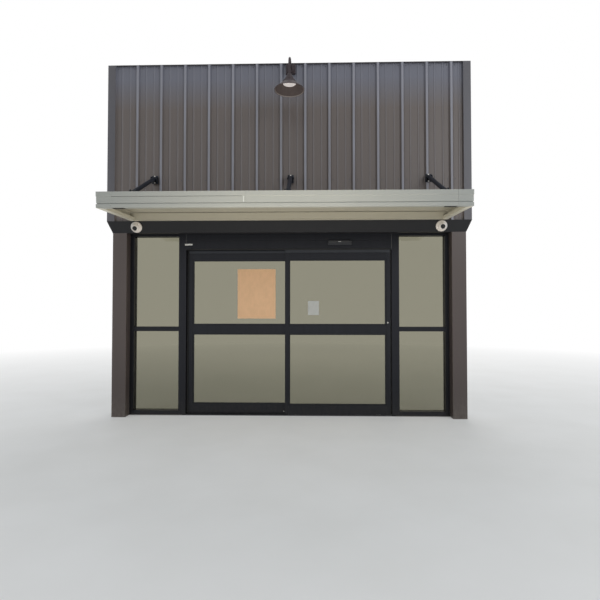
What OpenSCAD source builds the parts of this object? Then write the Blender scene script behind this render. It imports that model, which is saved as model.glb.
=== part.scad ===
// Automatic sliding entrance between two metal clad piers, under a flat canopy and a wall lamp.
// Millimetres. X runs to the right seen from the street, Y into the building, Z up.
// The origin is the middle of the threshold's underside, half way through the door frame.

/* [Opening] */
// Clear width between the two piers
opening_w = 4114; // [3600:1:5200]
// Height of the door frame and of the sidelites
storefront_h = 2362; // [2120:1:2700]
// Depth of the aluminium frames
frame_d = 114; // [104:1:160]
// How far the frames stand behind the face of the piers
recess = 125; // [110:1:200]

/* [Piers and wall] */
// Width of a pier
pier_w = 178; // [140:1:260]
// Depth of a pier
pier_d = 300; // [290:1:420]
// Thickness of a pier's folded metal skin
pier_skin = 4; // [2:0.5:8]
// Thickness of a pier's base plate
base_plate_t = 12; // [8:1:20]
// Distance from the sides of a pier to its anchor holes
anchor_side = 34; // [25:1:50]
// Distance from the front and back of a pier to its anchor holes
anchor_end = 40; // [25:1:90]
// Radius of an anchor hole
anchor_r = 9; // [6:0.5:11]
// Height of the ribbed wall above the fascia
wall_h = 1992; // [1700:1:2600]
// How far the ribbed cladding stands in front of the piers
clad_out = 55; // [48:1:80]
// Distance between the tall ribs
rib_pitch = 304.8; // [240:0.1:400]
// Place of the rib next to the middle of the door
rib_place = -84; // [-150:1:150]
// Height of a tall rib
rib_h = 30; // [20:1:32]
// Width of a tall rib at its foot
rib_foot = 64; // [48:1:76]
// Width of a tall rib at its crest
rib_crest = 26; // [14:1:40]
// Height of a small rib
small_rib_h = 6; // [3:1:10]
// Width of a small rib at its foot
small_rib_foot = 28; // [20:1:40]
// Width of a small rib at its crest
small_rib_crest = 12; // [6:1:18]
// Thickness of cladding, trims and fascia
sheet = 2; // [1:0.5:3]
// Width of the corner trims on the face of the cladding
trim_w = 96; // [60:1:140]
// Thickness of the inner wall panel
liner_t = 20; // [10:1:40]
// Wall of the steel box beam over the door
beam_wall = 6; // [4:1:12]
// Height of the cladding rails
girt_h = 60; // [40:1:90]
// Width of the flanges of the cladding rails
girt_flange = 15; // [10:1:18]
// Distance from the fascia to the lowest rail
girt_up = 12; // [5:1:60]

/* [Head fascia] */
// How far the sloping fascia hangs below the top of the door frame
fascia_lap = 26; // [10:1:50]
// Height of the sloping fascia, from its lower edge up to the cladding
fascia_h = 142; // [120:1:200]

/* [Sidelites] */
// Width of the faces of the sidelite frames
face_w = 51; // [40:1:70]
// Height of the sill
sill_h = 62; // [40:1:120]
// Height of the middle rail
side_rail_h = 57; // [40:1:90]
// Height of the middle of that rail above the ground
side_rail_z = 1110; // [900:1:1300]
// Width of the glazing stops round each pane
side_stop_w = 14; // [8:1:20]
// How far the glazing stops stand behind the face of the frame
side_stop_set = 4; // [1:0.5:10]

/* [Door set] */
// Overall width of the door set
package_w = 2743; // [2500:1:3000]
// Width of a door jamb
jamb_w = 45; // [35:1:60]
// Height of the header
header_h = 212; // [190:1:260]
// How far the header stands in front of the frames
header_proud = 10; // [4:1:30]
// Depth of the header
header_d = 152; // [140:1:200]
// Wall of the header
header_wall = 5; // [3:1:7]
// Height of the groove along the header's face, above its underside
header_groove_up = 100; // [60:1:140]
// Height of that groove
header_groove_h = 5; // [2:1:10]
// Depth of that groove
header_groove_d = 2; // [1:0.5:3]
// Bevel along the edges of the header's cover
cover_bevel = 18; // [8:1:30]
// Height of the threshold
threshold_h = 13; // [11:1:20]
// Width of the threshold's sloping edges
threshold_ramp = 6; // [3:1:12]
// Distance between the grooves in the tread
tread_pitch = 9; // [6:1:16]
// Depth of those grooves
tread_d = 1; // [0.5:0.5:3]

/* [Door panels] */
// Width of the sliding leaf
leaf_w = 1350; // [1240:1:1370]
// How far the leaf stands behind the front of the frames
leaf_set = 6; // [3:1:12]
// Thickness of both panels
panel_t = 44; // [38:1:48]
// Width of the stiles
stile_w = 64; // [50:1:90]
// Height of the top and middle rails
rail_h = 140; // [90:1:180]
// Height of the middle of the middle rail above the ground
rail_z = 1105; // [900:1:1300]
// Height of the plain band along the top of a panel
rail_band = 40; // [20:1:80]
// Height and depth of the groove under that band
band_groove = 3; // [1:0.5:4]
// Top of the bottom rail above the ground
bottom_rail_top = 150; // [110:1:300]
// Width of the glazing stops round each pane
stop_w = 18; // [10:1:24]
// How far the glazing stops stand behind the face of a panel
stop_set = 5; // [1:0.5:8]
// Running gap between the two panels
panel_gap = 8; // [6:1:10]
// Gap over the leaf, under the header
top_gap = 16; // [8:1:24]
// Gap under the leaf, over the threshold
floor_gap = 5; // [5:1:10]
// Gap between the closed leaf and its jamb
close_gap = 20; // [18:1:30]
// Gap between the open leaf and the left jamb
open_gap = 63; // [30:1:200]
// Radius of the rubber strip on the closing edge
seal_r = 8; // [5:1:10]
// Gap that the strip leaves to its jamb
seal_clear = 8; // [5:1:12]
// Recessed strip between the left jamb and the fixed panel
filler_w = 24; // [10:1:60]
// Thickness of the glass
glass_t = 12; // [6:1:16]
// Depth to which the glass sits in its frame
glass_bite = 12; // [8:1:18]
// Radius of the lock cylinder
lock_r = 16; // [12:1:22]
// How far the lock cylinder stands out of the leaf
lock_out = 4; // [2:1:8]
// Height of the lock cylinder above the middle of the middle rail
lock_up = 87; // [0:1:200]

/* [Sliding gear] */
// Thickness of the hanger plates
hanger_t = 8; // [6:1:10]
// Width of a hanger plate
hanger_w = 180; // [120:1:260]
// How far a hanger plate reaches above its axles
hanger_up = 20; // [14:1:30]
// Width of a hanger's foot on top of the leaf
hanger_foot_w = 36; // [20:1:42]
// Thickness of that foot
hanger_foot_t = 6; // [3:1:8]
// Radius of a roller
roller_r = 26; // [20:1:32]
// Thickness of a roller
roller_t = 12; // [10:1:14]
// Gap between a hanger plate and its rollers
roller_side = 4; // [2:1:6]
// Radius of the axles
axle_r = 6; // [4:1:8]
// How far an axle stands out of its roller
axle_end = 3; // [1:1:6]
// Radius of the small roller that keeps the leaf from lifting off
lift_r = 12; // [9:1:13]
// Thickness of that roller
lift_t = 10; // [6:1:11]
// Gap between that roller and the track above it
lift_gap = 5; // [3:1:6]
// Width of the slot in the header's underside
slot_w = 32; // [24:1:36]
// Height of the track's rail above the header's underside
track_h = 52; // [47:1:64]
// Wall of the track
track_wall = 6; // [3:1:8]
// Radius of the rail on which the rollers run
rail_r = 4; // [3:0.5:5]
// Width of the track's foot
track_foot_w = 32; // [20:1:36]
// Distance from the slot to the track's web
track_side = 10; // [6:1:16]
// Length of the buffers at the ends of the track
buffer_l = 24; // [10:1:40]
// Gap that a hanger leaves to its buffer
buffer_gap = 6; // [5:1:12]
// Length of a floor guide
guide_l = 60; // [30:1:120]
// Thickness of a floor guide
guide_t = 10; // [6:1:12]
// Gap on each side of a floor guide
guide_side = 5; // [5:0.5:7]
// Floor of the groove in which the guides run
guide_floor = 2; // [1:0.5:4]

/* [Canopy] */
// Width of the canopy
canopy_w = 3962; // [3600:1:4400]
// How far the canopy reaches out from the cladding
canopy_out = 935; // [800:1:1200]
// Height of the canopy's edge fascia
canopy_h = 172; // [150:1:220]
// Slope down to the front, in degrees
canopy_slope = 2.75; // [0:0.25:5]
// Height of the soffit above the lower edge
soffit_up = 104; // [90:1:115]
// Width of a deck plank
plank_w = 152.4; // [120:0.1:200]
// Wall of the canopy's extrusions
canopy_wall = 4; // [3:0.5:6]
// Depth of the wall channel
ledger_d = 40; // [30:1:60]
// Height of the wall channel's front lip
ledger_lip = 14; // [8:1:30]
// How far the wall channel ends below the canopy's top
ledger_drop = 8; // [4:1:20]
// Height of the band along the top of the edge fascia
edge_band = 52; // [30:1:70]
// Height of the bead along its lower edge
edge_bead = 41; // [20:1:50]
// How far the band and the bead stand out
edge_step = 3; // [1:0.5:5]
// Height of the shadow groove over the bead
edge_groove_h = 9; // [4:1:14]
// Depth of that groove
edge_groove_d = 9; // [5:1:14]
// Width of the trough behind the edge fascia
edge_trough = 60; // [40:1:90]
// Width of the shelves that hold the deck
edge_ledge = 26; // [15:1:40]
// Distance from the canopy's ends to the drain slots
drain_in = 176; // [120:1:400]
// Length of a drain slot
drain_l = 115; // [40:1:200]
// Width of a drain slot
drain_w = 40; // [10:1:42]
// Width of the flange on a plank's rib
plank_tee = 24; // [12:1:40]
// Width of the groove between two planks
plank_groove = 5; // [2:1:8]

/* [Canopy struts] */
// Place of the middle strut, right of the middle
strut_place = 38; // [-80:1:80]
// Half the difference between the canopy's width and the span of the struts
strut_inset = 266; // [200:1:600]
// Height of the upper pins above the fascia
strut_up = 520; // [430:1:700]
// Distance of the upper pins from the cladding
strut_top_out = 46; // [45:1:60]
// Distance of the lower pins from the canopy's front edge
strut_foot_in = 243; // [150:1:400]
// Height of the lower pins above the deck
strut_foot_up = 46; // [45:1:70]
// Radius of the tube
strut_r = 24; // [18:1:30]
// Wall of the tube
strut_wall = 3; // [2:0.5:5]
// How far the tube runs on past its pins
strut_end = 22; // [14:1:24]
// Radius of the pins
pin_r = 7; // [5:0.5:9]
// How far the pins stand out of the lugs
pin_end = 6; // [3:1:12]
// Thickness of lugs and base plates
lug_t = 8; // [6:1:10]
// Radius of the rounded ends of the lugs
lug_r = 30; // [24:1:34]
// Gap between a tube and the lug on each side
lug_gap = 3; // [1:0.5:5]
// Width of a wall plate
wall_plate_w = 78; // [72:1:100]
// Height of a wall plate
wall_plate_h = 100; // [92:1:140]
// Width of the block behind a wall plate
block_w = 60; // [40:1:70]
// Height of that block
block_h = 84; // [60:1:90]
// Width of a plate on the deck
deck_plate_w = 170; // [160:1:200]
// Depth of a plate on the deck
deck_plate_d = 100; // [70:1:160]

/* [Cameras and sensors] */
// Distance from a pier to the camera beside it
camera_inset = 137; // [90:1:400]
// Radius of a camera's base
camera_r = 70; // [56:1:72]
// Height of the rim of a camera's base
camera_base_h = 14; // [6:1:24]
// Width of the bevel on that base
camera_bevel_w = 12; // [4:1:14]
// Height of that bevel
camera_bevel_h = 16; // [6:1:20]
// Radius of a camera's ball
ball_r = 52; // [40:1:56]
// Height of the ball's middle above the fascia
ball_up = 34; // [20:1:44]
// Radius of a camera's lens window
lens_r = 24; // [12:1:26]
// How far the window is sunk into the ball
lens_set = 8; // [4:1:12]
// Angle by which the cameras look down from their base
look_down = 14; // [0:1:30]
// Angle by which they look outwards, away from the door
look_out = 12; // [0:1:20]
// Width of a motion sensor
sensor_w = 300; // [200:1:360]
// Height of a motion sensor
sensor_h = 70; // [50:1:90]
// Depth of a motion sensor
sensor_d = 42; // [30:1:60]
// Place of the sensors, right of the middle
sensor_x = 661; // [500:1:760]
// Height of the outer sensor above the header's underside
sensor_up = 36; // [10:1:60]
// Height of the inner sensor above the header's underside
inner_sensor_up = 60; // [30:1:90]

/* [Wall lamp] */
// Place of the lamp, right of the middle
lamp_x = 38; // [-300:1:300]
// Distance from the top of the wall to the middle of the lamp's wall plate
lamp_drop = 70; // [64:1:86]
// How far the middle of the shade stands out from the cladding
lamp_out = 350; // [300:1:420]
// Radius of the wall plate
lamp_plate_r = 54; // [40:1:58]
// Thickness of the wall plate
lamp_plate_t = 10; // [6:1:16]
// Size of the square block behind the wall plate
lamp_block = 120; // [118:1:124]
// Radius of the arm
arm_r = 14; // [10:1:18]
// Radius of the bend in the arm, along its middle
arm_bend = 150; // [100:1:200]
// Length of the straight arm between the bend and the housing
arm_down = 108; // [60:1:160]
// Radius of the shade's rim
shade_r = 178; // [150:1:200]
// Height of the shade
shade_h = 88; // [70:1:110]
// Height of the upright edge round the shade and round the housing
shade_lip = 7; // [4:1:12]
// Wall of the shade
shade_wall = 3; // [2:0.5:4]
// Radius of the housing at its foot
housing_r = 84; // [76:1:100]
// Radius of the housing at its top
housing_top_r = 30; // [22:1:40]
// Height of the housing
housing_h = 102; // [80:1:130]
// Radius of the lamp's lens
lamp_lens_r = 78; // [60:1:80]
// Thickness of that lens
lamp_lens_t = 8; // [5:1:12]

/* [Hidden] */

// Colours, as the photograph shows them
dark_metal = "#2b2a2c";
pier_metal = "#4c484a";
wall_metal = "#55565b";
light_metal = "#a9aca8";
glass_tint = "#8fa3a0";
white_plastic = "#e8e5df";
black_rubber = "#141414";
steel = "#8c9094";

fit = 0.3;
pin_fit = 0.05;
over = 1;

frame_front = -frame_d / 2;
pier_front = frame_front - recess;
pier_back = pier_front + pier_d;
fascia_bottom = storefront_h - fascia_lap;
fascia_top = fascia_bottom + fascia_h;
wall_top = fascia_top + wall_h;
header_bottom = storefront_h - header_h;
pier_inner = opening_w / 2;
pier_outer = pier_inner + pier_w;
clad_front = pier_front - clad_out;
pan_front = clad_front + rib_h;
pan_back = pan_front + sheet;
clad_x = pier_outer + clad_out;
clad_end = clad_x - sheet - fit;

package_x = package_w / 2;
jamb_x = package_x - jamb_w;
header_front = frame_front - header_proud;
header_back = header_front + header_d;

leaf_right = jamb_x - close_gap;
leaf_left = leaf_right - leaf_w;
fixed_left = -jamb_x + filler_w;
fixed_right = leaf_left + stile_w;
leaf_front = frame_front + leaf_set;
leaf_mid = leaf_front + panel_t / 2;
fixed_front = leaf_front + panel_t + panel_gap;
leaf_bottom = threshold_h + floor_gap;
leaf_top = header_bottom - top_gap;
seal_w = close_gap - seal_clear;
lock_z = rail_z + lock_up;

track_web = leaf_mid + slot_w / 2 + track_side;
header_web = track_web + track_foot_w + fit;
track_top = header_bottom + track_h;
arm_bottom = track_top - rail_r - track_wall;
roller_y = leaf_mid + hanger_t / 2 + roller_side;
roller_z = track_top + roller_r + fit;
lift_z = arm_bottom - lift_gap - lift_r;
hanger_x = [leaf_left + stile_w + hanger_w / 2, leaf_right - stile_w - hanger_w / 2];
axle_x = hanger_w / 3;

canopy_z = fascia_top;
canopy_x = canopy_w / 2;
edge_reach = 1.2 * edge_trough;
deck_top = canopy_h - canopy_wall;
deck_edge = canopy_wall + edge_step + fit;
strut_x = [for (side = [-1, 0, 1]) strut_place + side * (canopy_x - strut_inset)];
strut_top_z = fascia_top + strut_up;

lamp_y = clad_front - lamp_out;
lamp_z = wall_top - lamp_drop;
housing_top = lamp_z - arm_bend - arm_down;
shade_z = housing_top - housing_h - shade_h;

// Basic forms

// Box from one corner to the opposite one
module box(from, to) {
    translate(from)
        cube(to - from);
}

// Outline in Y and Z, drawn out along X between two places
module along_x(x0, x1) {
    translate([x0, 0, 0])
        rotate([90, 0, 90])
            linear_extrude(x1 - x0)
                children();
}

// Outline in X and Z, drawn out along Y between two places
module along_y(y0, y1) {
    translate([0, y1, 0])
        rotate([90, 0, 0])
            linear_extrude(y1 - y0)
                children();
}

module mirrored() {
    mirror([1, 0, 0])
        children();
}

// Cylinder along X, centred
module rod_x(r, length) {
    rotate([0, 90, 0])
        cylinder(r = r, h = length, center = true, $fn = 64);
}

// Piers and the wall over the door

// Hollow clad post with a base plate for four anchor bolts
module pier_right() {
    color(pier_metal)
        difference() {
            box([pier_inner, pier_front, 0], [pier_outer, pier_back, wall_top]);
            box([pier_inner + pier_skin, pier_front + pier_skin, base_plate_t],
                [pier_outer - pier_skin, pier_back - pier_skin, wall_top + over]);
            for (x = [pier_inner + anchor_side, pier_outer - anchor_side],
                 y = [pier_front + anchor_end, pier_back - anchor_end])
                translate([x, y, -over])
                    cylinder(r = anchor_r, h = base_plate_t + 2 * over, $fn = 48);
        }
}

module pier_left() {
    mirrored() pier_right();
}

module head_beam() {
    color(steel)
        along_x(-pier_inner, pier_inner)
            difference() {
                translate([pier_front, storefront_h])
                    square([pier_d, fascia_top - storefront_h]);
                translate([pier_front + beam_wall, storefront_h + beam_wall])
                    square([pier_d - 2 * beam_wall, fascia_top - storefront_h - 2 * beam_wall]);
            }
}

// Hat shaped rail between the posts and the cladding
module girt(z, height) {
    lip = girt_flange;
    depth = pier_front - pan_back;
    color(steel)
        along_x(-clad_end, clad_end)
            translate([pan_back, z])
                difference() {
                    polygon([
                        [0, lip],
                        [0, height - lip],
                        [depth - sheet, height - lip],
                        [depth - sheet, height],
                        [depth, height],
                        [depth, 0],
                        [depth - sheet, 0],
                        [depth - sheet, lip]
                    ]);
                    translate([sheet, lip + sheet])
                        square([depth - sheet + over, height - 2 * lip - 2 * sheet]);
                }
}

module girt_low() {
    girt(fascia_top + girt_up, girt_h);
}

module girt_strut() {
    girt(strut_top_z - girt_h, 2 * girt_h);
}

module girt_top() {
    girt(wall_top - girt_h, girt_h);
}

// Half width of a rib at its foot and at its crest
tall_rib = [rib_foot / 2, rib_crest / 2];
small_rib = [small_rib_foot / 2, small_rib_crest / 2];

// Outer line of one rib, from left to right
function rib_line(x, half, height) = [
    [x - half[0], pan_front],
    [x - half[1], pan_front - height],
    [x + half[1], pan_front - height],
    [x + half[0], pan_front]
];

rib_first = ceil((-clad_end + tall_rib[0] + sheet - rib_place) / rib_pitch);
rib_last = floor((clad_end - tall_rib[0] - sheet - rib_place) / rib_pitch);
clad_line = [
    for (k = [rib_first : rib_last], j = [0 : 2])
        let (x = rib_place + (k + j / 3) * rib_pitch)
            if (x + tall_rib[0] + sheet < clad_end)
                each rib_line(x, j == 0 ? tall_rib : small_rib, j == 0 ? rib_h : small_rib_h)
];
clad_face = concat([[-clad_end, pan_front]], clad_line, [[clad_end, pan_front]]);

// Ribbed sheet, with the holes through which the blocks reach the rails
module cladding() {
    count = len(clad_face);
    back = [for (i = [count - 1 : -1 : 0]) clad_face[i] + [0, sheet]];
    color(wall_metal)
        difference() {
            translate([0, 0, fascia_top])
                linear_extrude(wall_top - fascia_top)
                    polygon(concat(clad_face, back));
            for (x = strut_x)
                strut_block(x, fit);
            lamp_mount(fit);
        }
}

// Folded corner trim, side and back return of the wall over the pier
module side_trim_right() {
    color(wall_metal)
        translate([0, 0, fascia_top])
            linear_extrude(wall_top - fascia_top)
                polygon([
                    [clad_x - trim_w, clad_front - sheet],
                    [clad_x, clad_front - sheet],
                    [clad_x, pier_back],
                    [pier_outer, pier_back],
                    [pier_outer, pier_back - sheet],
                    [clad_x - sheet, pier_back - sheet],
                    [clad_x - sheet, clad_front],
                    [clad_x - trim_w, clad_front]
                ]);
}

module side_trim_left() {
    mirrored() side_trim_right();
}

module wall_liner() {
    color(wall_metal)
        box([-pier_inner, pier_back - liner_t, fascia_top], [pier_inner, pier_back, wall_top]);
}

// Plain end where the wall runs on upwards
module top_closure() {
    color(steel)
        box([-clad_x, clad_front - sheet, wall_top], [clad_x, pier_back, wall_top + sheet]);
}

// Sloping sheet that leads from the cladding back to the piers and under the head
module fascia() {
    slope = [[clad_front - sheet, fascia_top], [pier_front - sheet, fascia_bottom]];
    color(dark_metal) {
        intersection() {
            along_x(-clad_x - sheet, clad_x + sheet)
                polygon([
                    slope[0],
                    slope[1],
                    [pier_front, fascia_bottom],
                    [clad_front, fascia_top - sheet],
                    [pier_front, fascia_top - sheet],
                    [pier_front, fascia_top]
                ]);
            fascia_corner(1);
        }
        fascia_end();
        mirrored() fascia_end();
        box([-pier_inner, pier_front - sheet, fascia_bottom],
            [pier_inner, header_front - fit, fascia_bottom + sheet]);
    }
}

// Plan of the front length of the fascia, mitred into its two ends
module fascia_corner(z_over) {
    reach = clad_front - sheet;
    depth = clad_out + sheet;
    translate([0, 0, fascia_bottom - z_over])
        linear_extrude(fascia_top - fascia_bottom + 2 * z_over)
            polygon([
                [-clad_x - sheet, reach],
                [clad_x + sheet, reach],
                [clad_x + sheet - depth, reach + depth],
                [-clad_x - sheet + depth, reach + depth]
            ]);
}

module fascia_end() {
    reach = clad_front - sheet;
    depth = clad_out + sheet;
    intersection() {
        along_y(reach, pier_back)
            polygon([
                [clad_x + sheet, fascia_top],
                [pier_outer + sheet, fascia_bottom],
                [pier_outer, fascia_bottom],
                [clad_x, fascia_top - sheet],
                [pier_outer, fascia_top - sheet],
                [pier_outer, fascia_top]
            ]);
        translate([0, 0, fascia_bottom - over])
            linear_extrude(fascia_top - fascia_bottom + 2 * over)
                polygon([
                    [clad_x + sheet, reach],
                    [clad_x + sheet, pier_back],
                    [clad_x + sheet - depth, pier_back],
                    [clad_x + sheet - depth, reach + depth]
                ]);
    }
}

// Glazed frames

// Pocket for a pane in a frame, or the pane itself when loose is 0
module pane(x0, x1, z0, z1, y_mid, loose = 0) {
    thick = glass_t + 2 * loose;
    reach = glass_bite + loose;
    box([x0 - reach, y_mid - thick / 2, z0 - reach], [x1 + reach, y_mid + thick / 2, z1 + reach]);
}

// Room in a frame between y0 and y1 for what shows of a pane, with its glazing stops set back
module daylight(x0, x1, z0, z1, y0, y1, stop, set) {
    box([x0, y0 - over, z0], [x1, y1 + over, z1]);
    for (y = [[y0 - over, y0 + set], [y1 - set, y1 + over]])
        box([x0 - stop, y[0], z0 - stop], [x1 + stop, y[1], z1 + stop]);
}

// Daylight of a sidelite: left, right, bottom and top of each pane
side_x = [package_x + face_w, pier_inner - face_w];
side_lower = [sill_h, side_rail_z - side_rail_h / 2];
side_upper = [side_rail_z + side_rail_h / 2, storefront_h - face_w];

module sidelite_frame_right() {
    color(dark_metal)
        difference() {
            box([package_x, frame_front, 0], [pier_inner, -frame_front, storefront_h]);
            for (z = [side_lower, side_upper]) {
                daylight(side_x[0], side_x[1], z[0], z[1], frame_front, -frame_front,
                    side_stop_w, side_stop_set);
                pane(side_x[0], side_x[1], z[0], z[1], 0, fit);
            }
        }
}

module sidelite_frame_left() {
    mirrored() sidelite_frame_right();
}

module side_pane(z) {
    color(glass_tint, 0.4)
        pane(side_x[0], side_x[1], z[0], z[1], 0);
}

module sidelite_glass_right_upper() {
    side_pane(side_upper);
}

module sidelite_glass_right_lower() {
    side_pane(side_lower);
}

module sidelite_glass_left_upper() {
    mirrored() side_pane(side_upper);
}

module sidelite_glass_left_lower() {
    mirrored() side_pane(side_lower);
}

// Bottom and top of the panes of both panels
panel_lower = [bottom_rail_top, rail_z - rail_h / 2];
panel_upper = [rail_z + rail_h / 2, leaf_top - rail_h];

// Door panel of two stiles and three rails
module panel(x0, x1, z0, z1, y0) {
    band = leaf_top - rail_band;
    color(dark_metal)
        difference() {
            box([x0, y0, z0], [x1, y0 + panel_t, z1]);
            for (z = [panel_lower, panel_upper]) {
                daylight(x0 + stile_w, x1 - stile_w, z[0], z[1], y0, y0 + panel_t, stop_w, stop_set);
                pane(x0 + stile_w, x1 - stile_w, z[0], z[1], y0 + panel_t / 2, fit);
            }
            box([x0 + stile_w, y0 - over, band - band_groove], [x1 - stile_w, y0 + band_groove, band]);
        }
}

module panel_pane(x0, x1, z, y0) {
    color(glass_tint, 0.4)
        pane(x0 + stile_w, x1 - stile_w, z[0], z[1], y0 + panel_t / 2);
}

module leaf_frame() {
    panel(leaf_left, leaf_right, leaf_bottom, leaf_top, leaf_front);
}

module leaf_glass_upper() {
    panel_pane(leaf_left, leaf_right, panel_upper, leaf_front);
}

module leaf_glass_lower() {
    panel_pane(leaf_left, leaf_right, panel_lower, leaf_front);
}

module fixed_frame() {
    panel(fixed_left, fixed_right, threshold_h, header_bottom, fixed_front);
}

module fixed_glass_upper() {
    panel_pane(fixed_left, fixed_right, panel_upper, fixed_front);
}

module fixed_glass_lower() {
    panel_pane(fixed_left, fixed_right, panel_lower, fixed_front);
}

// Rubber strip on the closing edge of the leaf
module leaf_seal() {
    color(black_rubber)
        translate([leaf_right, leaf_mid, leaf_bottom])
            linear_extrude(leaf_top - leaf_bottom)
                intersection() {
                    translate([seal_w - seal_r, 0])
                        circle(r = seal_r, $fn = 32);
                    translate([0, -seal_r])
                        square([seal_w, 2 * seal_r]);
                }
}

module lock_cylinder() {
    color(steel)
        translate([leaf_right - stile_w / 2, leaf_front - lock_out, lock_z])
            rotate([-90, 0, 0])
                cylinder(r = lock_r, h = lock_out, $fn = 48);
}

// Door set

module jamb_right() {
    color(dark_metal)
        box([jamb_x, frame_front, 0], [package_x, -frame_front, storefront_h]);
}

module jamb_left() {
    mirrored() jamb_right();
}

module jamb_filler() {
    color(black_rubber)
        box([-jamb_x, fixed_front + panel_t / 4, threshold_h],
            [fixed_left, fixed_front + panel_t, header_bottom]);
}

// Extruded housing with a slot for the hangers, a web behind the track and an open back
module header() {
    inner = header_bottom + header_wall;
    inner_h = storefront_h - header_bottom - 2 * header_wall;
    slot = [leaf_mid - slot_w / 2, leaf_mid + slot_w / 2];
    groove = header_bottom + header_groove_up;
    color(dark_metal)
        along_x(-jamb_x, jamb_x)
            difference() {
                translate([header_front, header_bottom])
                    square([header_d - header_wall, storefront_h - header_bottom]);
                translate([header_front + header_wall, inner])
                    square([header_web - header_front - header_wall, inner_h]);
                translate([header_web + header_wall, inner])
                    square([header_d, inner_h]);
                translate([slot[0], header_bottom - over])
                    square([slot[1] - slot[0], header_wall + 2 * over]);
                translate([header_front - over, groove])
                    square([over + header_groove_d, header_groove_h]);
            }
}

// Access cover that closes the header towards the room
module header_cover() {
    edge = cover_bevel;
    color(dark_metal)
        along_x(-jamb_x, jamb_x)
            polygon([
                [header_back - header_wall, header_bottom],
                [header_back, header_bottom],
                [header_back + edge, header_bottom + edge],
                [header_back + edge, storefront_h - edge],
                [header_back, storefront_h],
                [header_back - header_wall, storefront_h],
                [header_back - header_wall, storefront_h - header_wall],
                [header_back - header_wall / 2, storefront_h - header_wall],
                [header_back + edge - header_wall, storefront_h - edge - header_wall / 2],
                [header_back + edge - header_wall, header_bottom + edge + header_wall / 2],
                [header_back - header_wall / 2, header_bottom + header_wall],
                [header_back - header_wall, header_bottom + header_wall]
            ]);
}

// Rail on which the rollers run, with its foot on the header's floor and a buffer at each end
module track() {
    foot = header_bottom + header_wall;
    rail_y = roller_y + roller_t / 2;
    arm = [rail_y - rail_r, track_web + track_wall];
    stops = [
        -jamb_x + open_gap + stile_w - buffer_gap - buffer_l,
        leaf_right - stile_w + buffer_gap
    ];
    color(steel) {
        along_x(-jamb_x + fit, jamb_x - fit) {
            translate([track_web, foot])
                square([track_foot_w, track_wall]);
            translate([track_web, foot])
                square([track_wall, track_top - rail_r - foot]);
            translate([arm[0], arm_bottom])
                square([arm[1] - arm[0], track_wall]);
            translate([rail_y, track_top - rail_r])
                circle(r = rail_r, $fn = 32);
        }
        for (x = stops)
            box([x, arm[0], arm_bottom], [x + buffer_l, arm[1], roller_z]);
    }
}

// Ramped sill with a grooved tread and the channel for the floor guides
module threshold() {
    edge = frame_d / 2;
    channel = guide_t / 2 + guide_side;
    treads = [
        for (y = [-edge + 2 * threshold_ramp : tread_pitch : edge - 2 * threshold_ramp])
            if (abs(y - leaf_mid) > channel + tread_pitch / 2) y
    ];
    color(steel)
        along_x(-jamb_x, jamb_x)
            difference() {
                polygon([
                    [-edge, 0],
                    [-edge + threshold_ramp, threshold_h],
                    [edge - threshold_ramp, threshold_h],
                    [edge, 0]
                ]);
                translate([leaf_mid - channel, guide_floor])
                    square([2 * channel, threshold_h]);
                for (y = treads)
                    translate([y - tread_d, threshold_h - tread_d])
                        square([2 * tread_d, 2 * tread_d]);
            }
}

// Plates that stand on the leaf and carry it, through the header's slot
module hangers() {
    side = leaf_mid + hanger_t / 2;
    color(steel)
        for (x = hanger_x) {
            hanger_part(x, hanger_t, roller_z + hanger_up);
            hanger_part(x, hanger_foot_w, leaf_top + hanger_foot_t);
            for (place = [-axle_x, axle_x])
                axle([x + place, side, roller_z], roller_side + roller_t + axle_end);
            axle([x, side, lift_z], roller_side + lift_t + axle_end);
        }
}

// Plate or foot of a hanger, from the top of the leaf up
module hanger_part(x, depth, top) {
    box([x - hanger_w / 2, leaf_mid - depth / 2, leaf_top],
        [x + hanger_w / 2, leaf_mid + depth / 2, top]);
}

// Axle that stands out of a hanger plate towards the track
module axle(place, length) {
    translate(place)
        rotate([-90, 0, 0])
            cylinder(r = axle_r, h = length, $fn = 32);
}

// Ring on an axle, drawn by the outline of its section
module on_axle(place) {
    translate(place)
        rotate([-90, 0, 0])
            rotate_extrude($fn = 64)
                children();
}

// Grooved rollers that run on the rail, and the small rollers under it
module rollers() {
    bore = axle_r + pin_fit;
    color(white_plastic)
        for (x = hanger_x) {
            for (place = [-axle_x, axle_x])
                on_axle([x + place, roller_y, roller_z])
                    difference() {
                        translate([bore, 0])
                            square([roller_r + rail_r / 2 - bore, roller_t]);
                        translate([roller_r + rail_r, roller_t / 2])
                            circle(r = rail_r + fit, $fn = 32);
                    }
            on_axle([x, roller_y, lift_z])
                translate([bore, 0])
                    square([lift_r - bore, lift_t]);
        }
}

// Guide blocks under the leaf, running in the threshold's channel
module floor_guide() {
    color(white_plastic)
        for (x = hanger_x)
            box([x - guide_l / 2, leaf_mid - guide_t / 2, guide_floor + guide_side],
                [x + guide_l / 2, leaf_mid + guide_t / 2, leaf_bottom]);
}

// Motion sensor with a sloping lower face
module sensor(z0) {
    along_x(sensor_x - sensor_w / 2, sensor_x + sensor_w / 2)
        polygon([
            [0, z0],
            [sensor_d * 0.55, z0],
            [sensor_d, z0 + sensor_h * 0.45],
            [sensor_d, z0 + sensor_h * 0.8],
            [sensor_d * 0.8, z0 + sensor_h],
            [0, z0 + sensor_h]
        ]);
}

module sensor_outside() {
    color(dark_metal)
        translate([0, header_front, 0])
            mirror([0, 1, 0])
                sensor(header_bottom + sensor_up);
}

module sensor_inside() {
    color(dark_metal)
        translate([0, header_back + cover_bevel, 0])
            sensor(header_bottom + inner_sensor_up);
}

// Canopy

// Places a piece in the sloping frame of the canopy: X as ever, Y out from the cladding
// as a negative number, Z up from the lower edge
module in_canopy() {
    translate([0, clad_front - sheet, canopy_z])
        rotate([canopy_slope, 0, 0])
            children();
}

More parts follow.
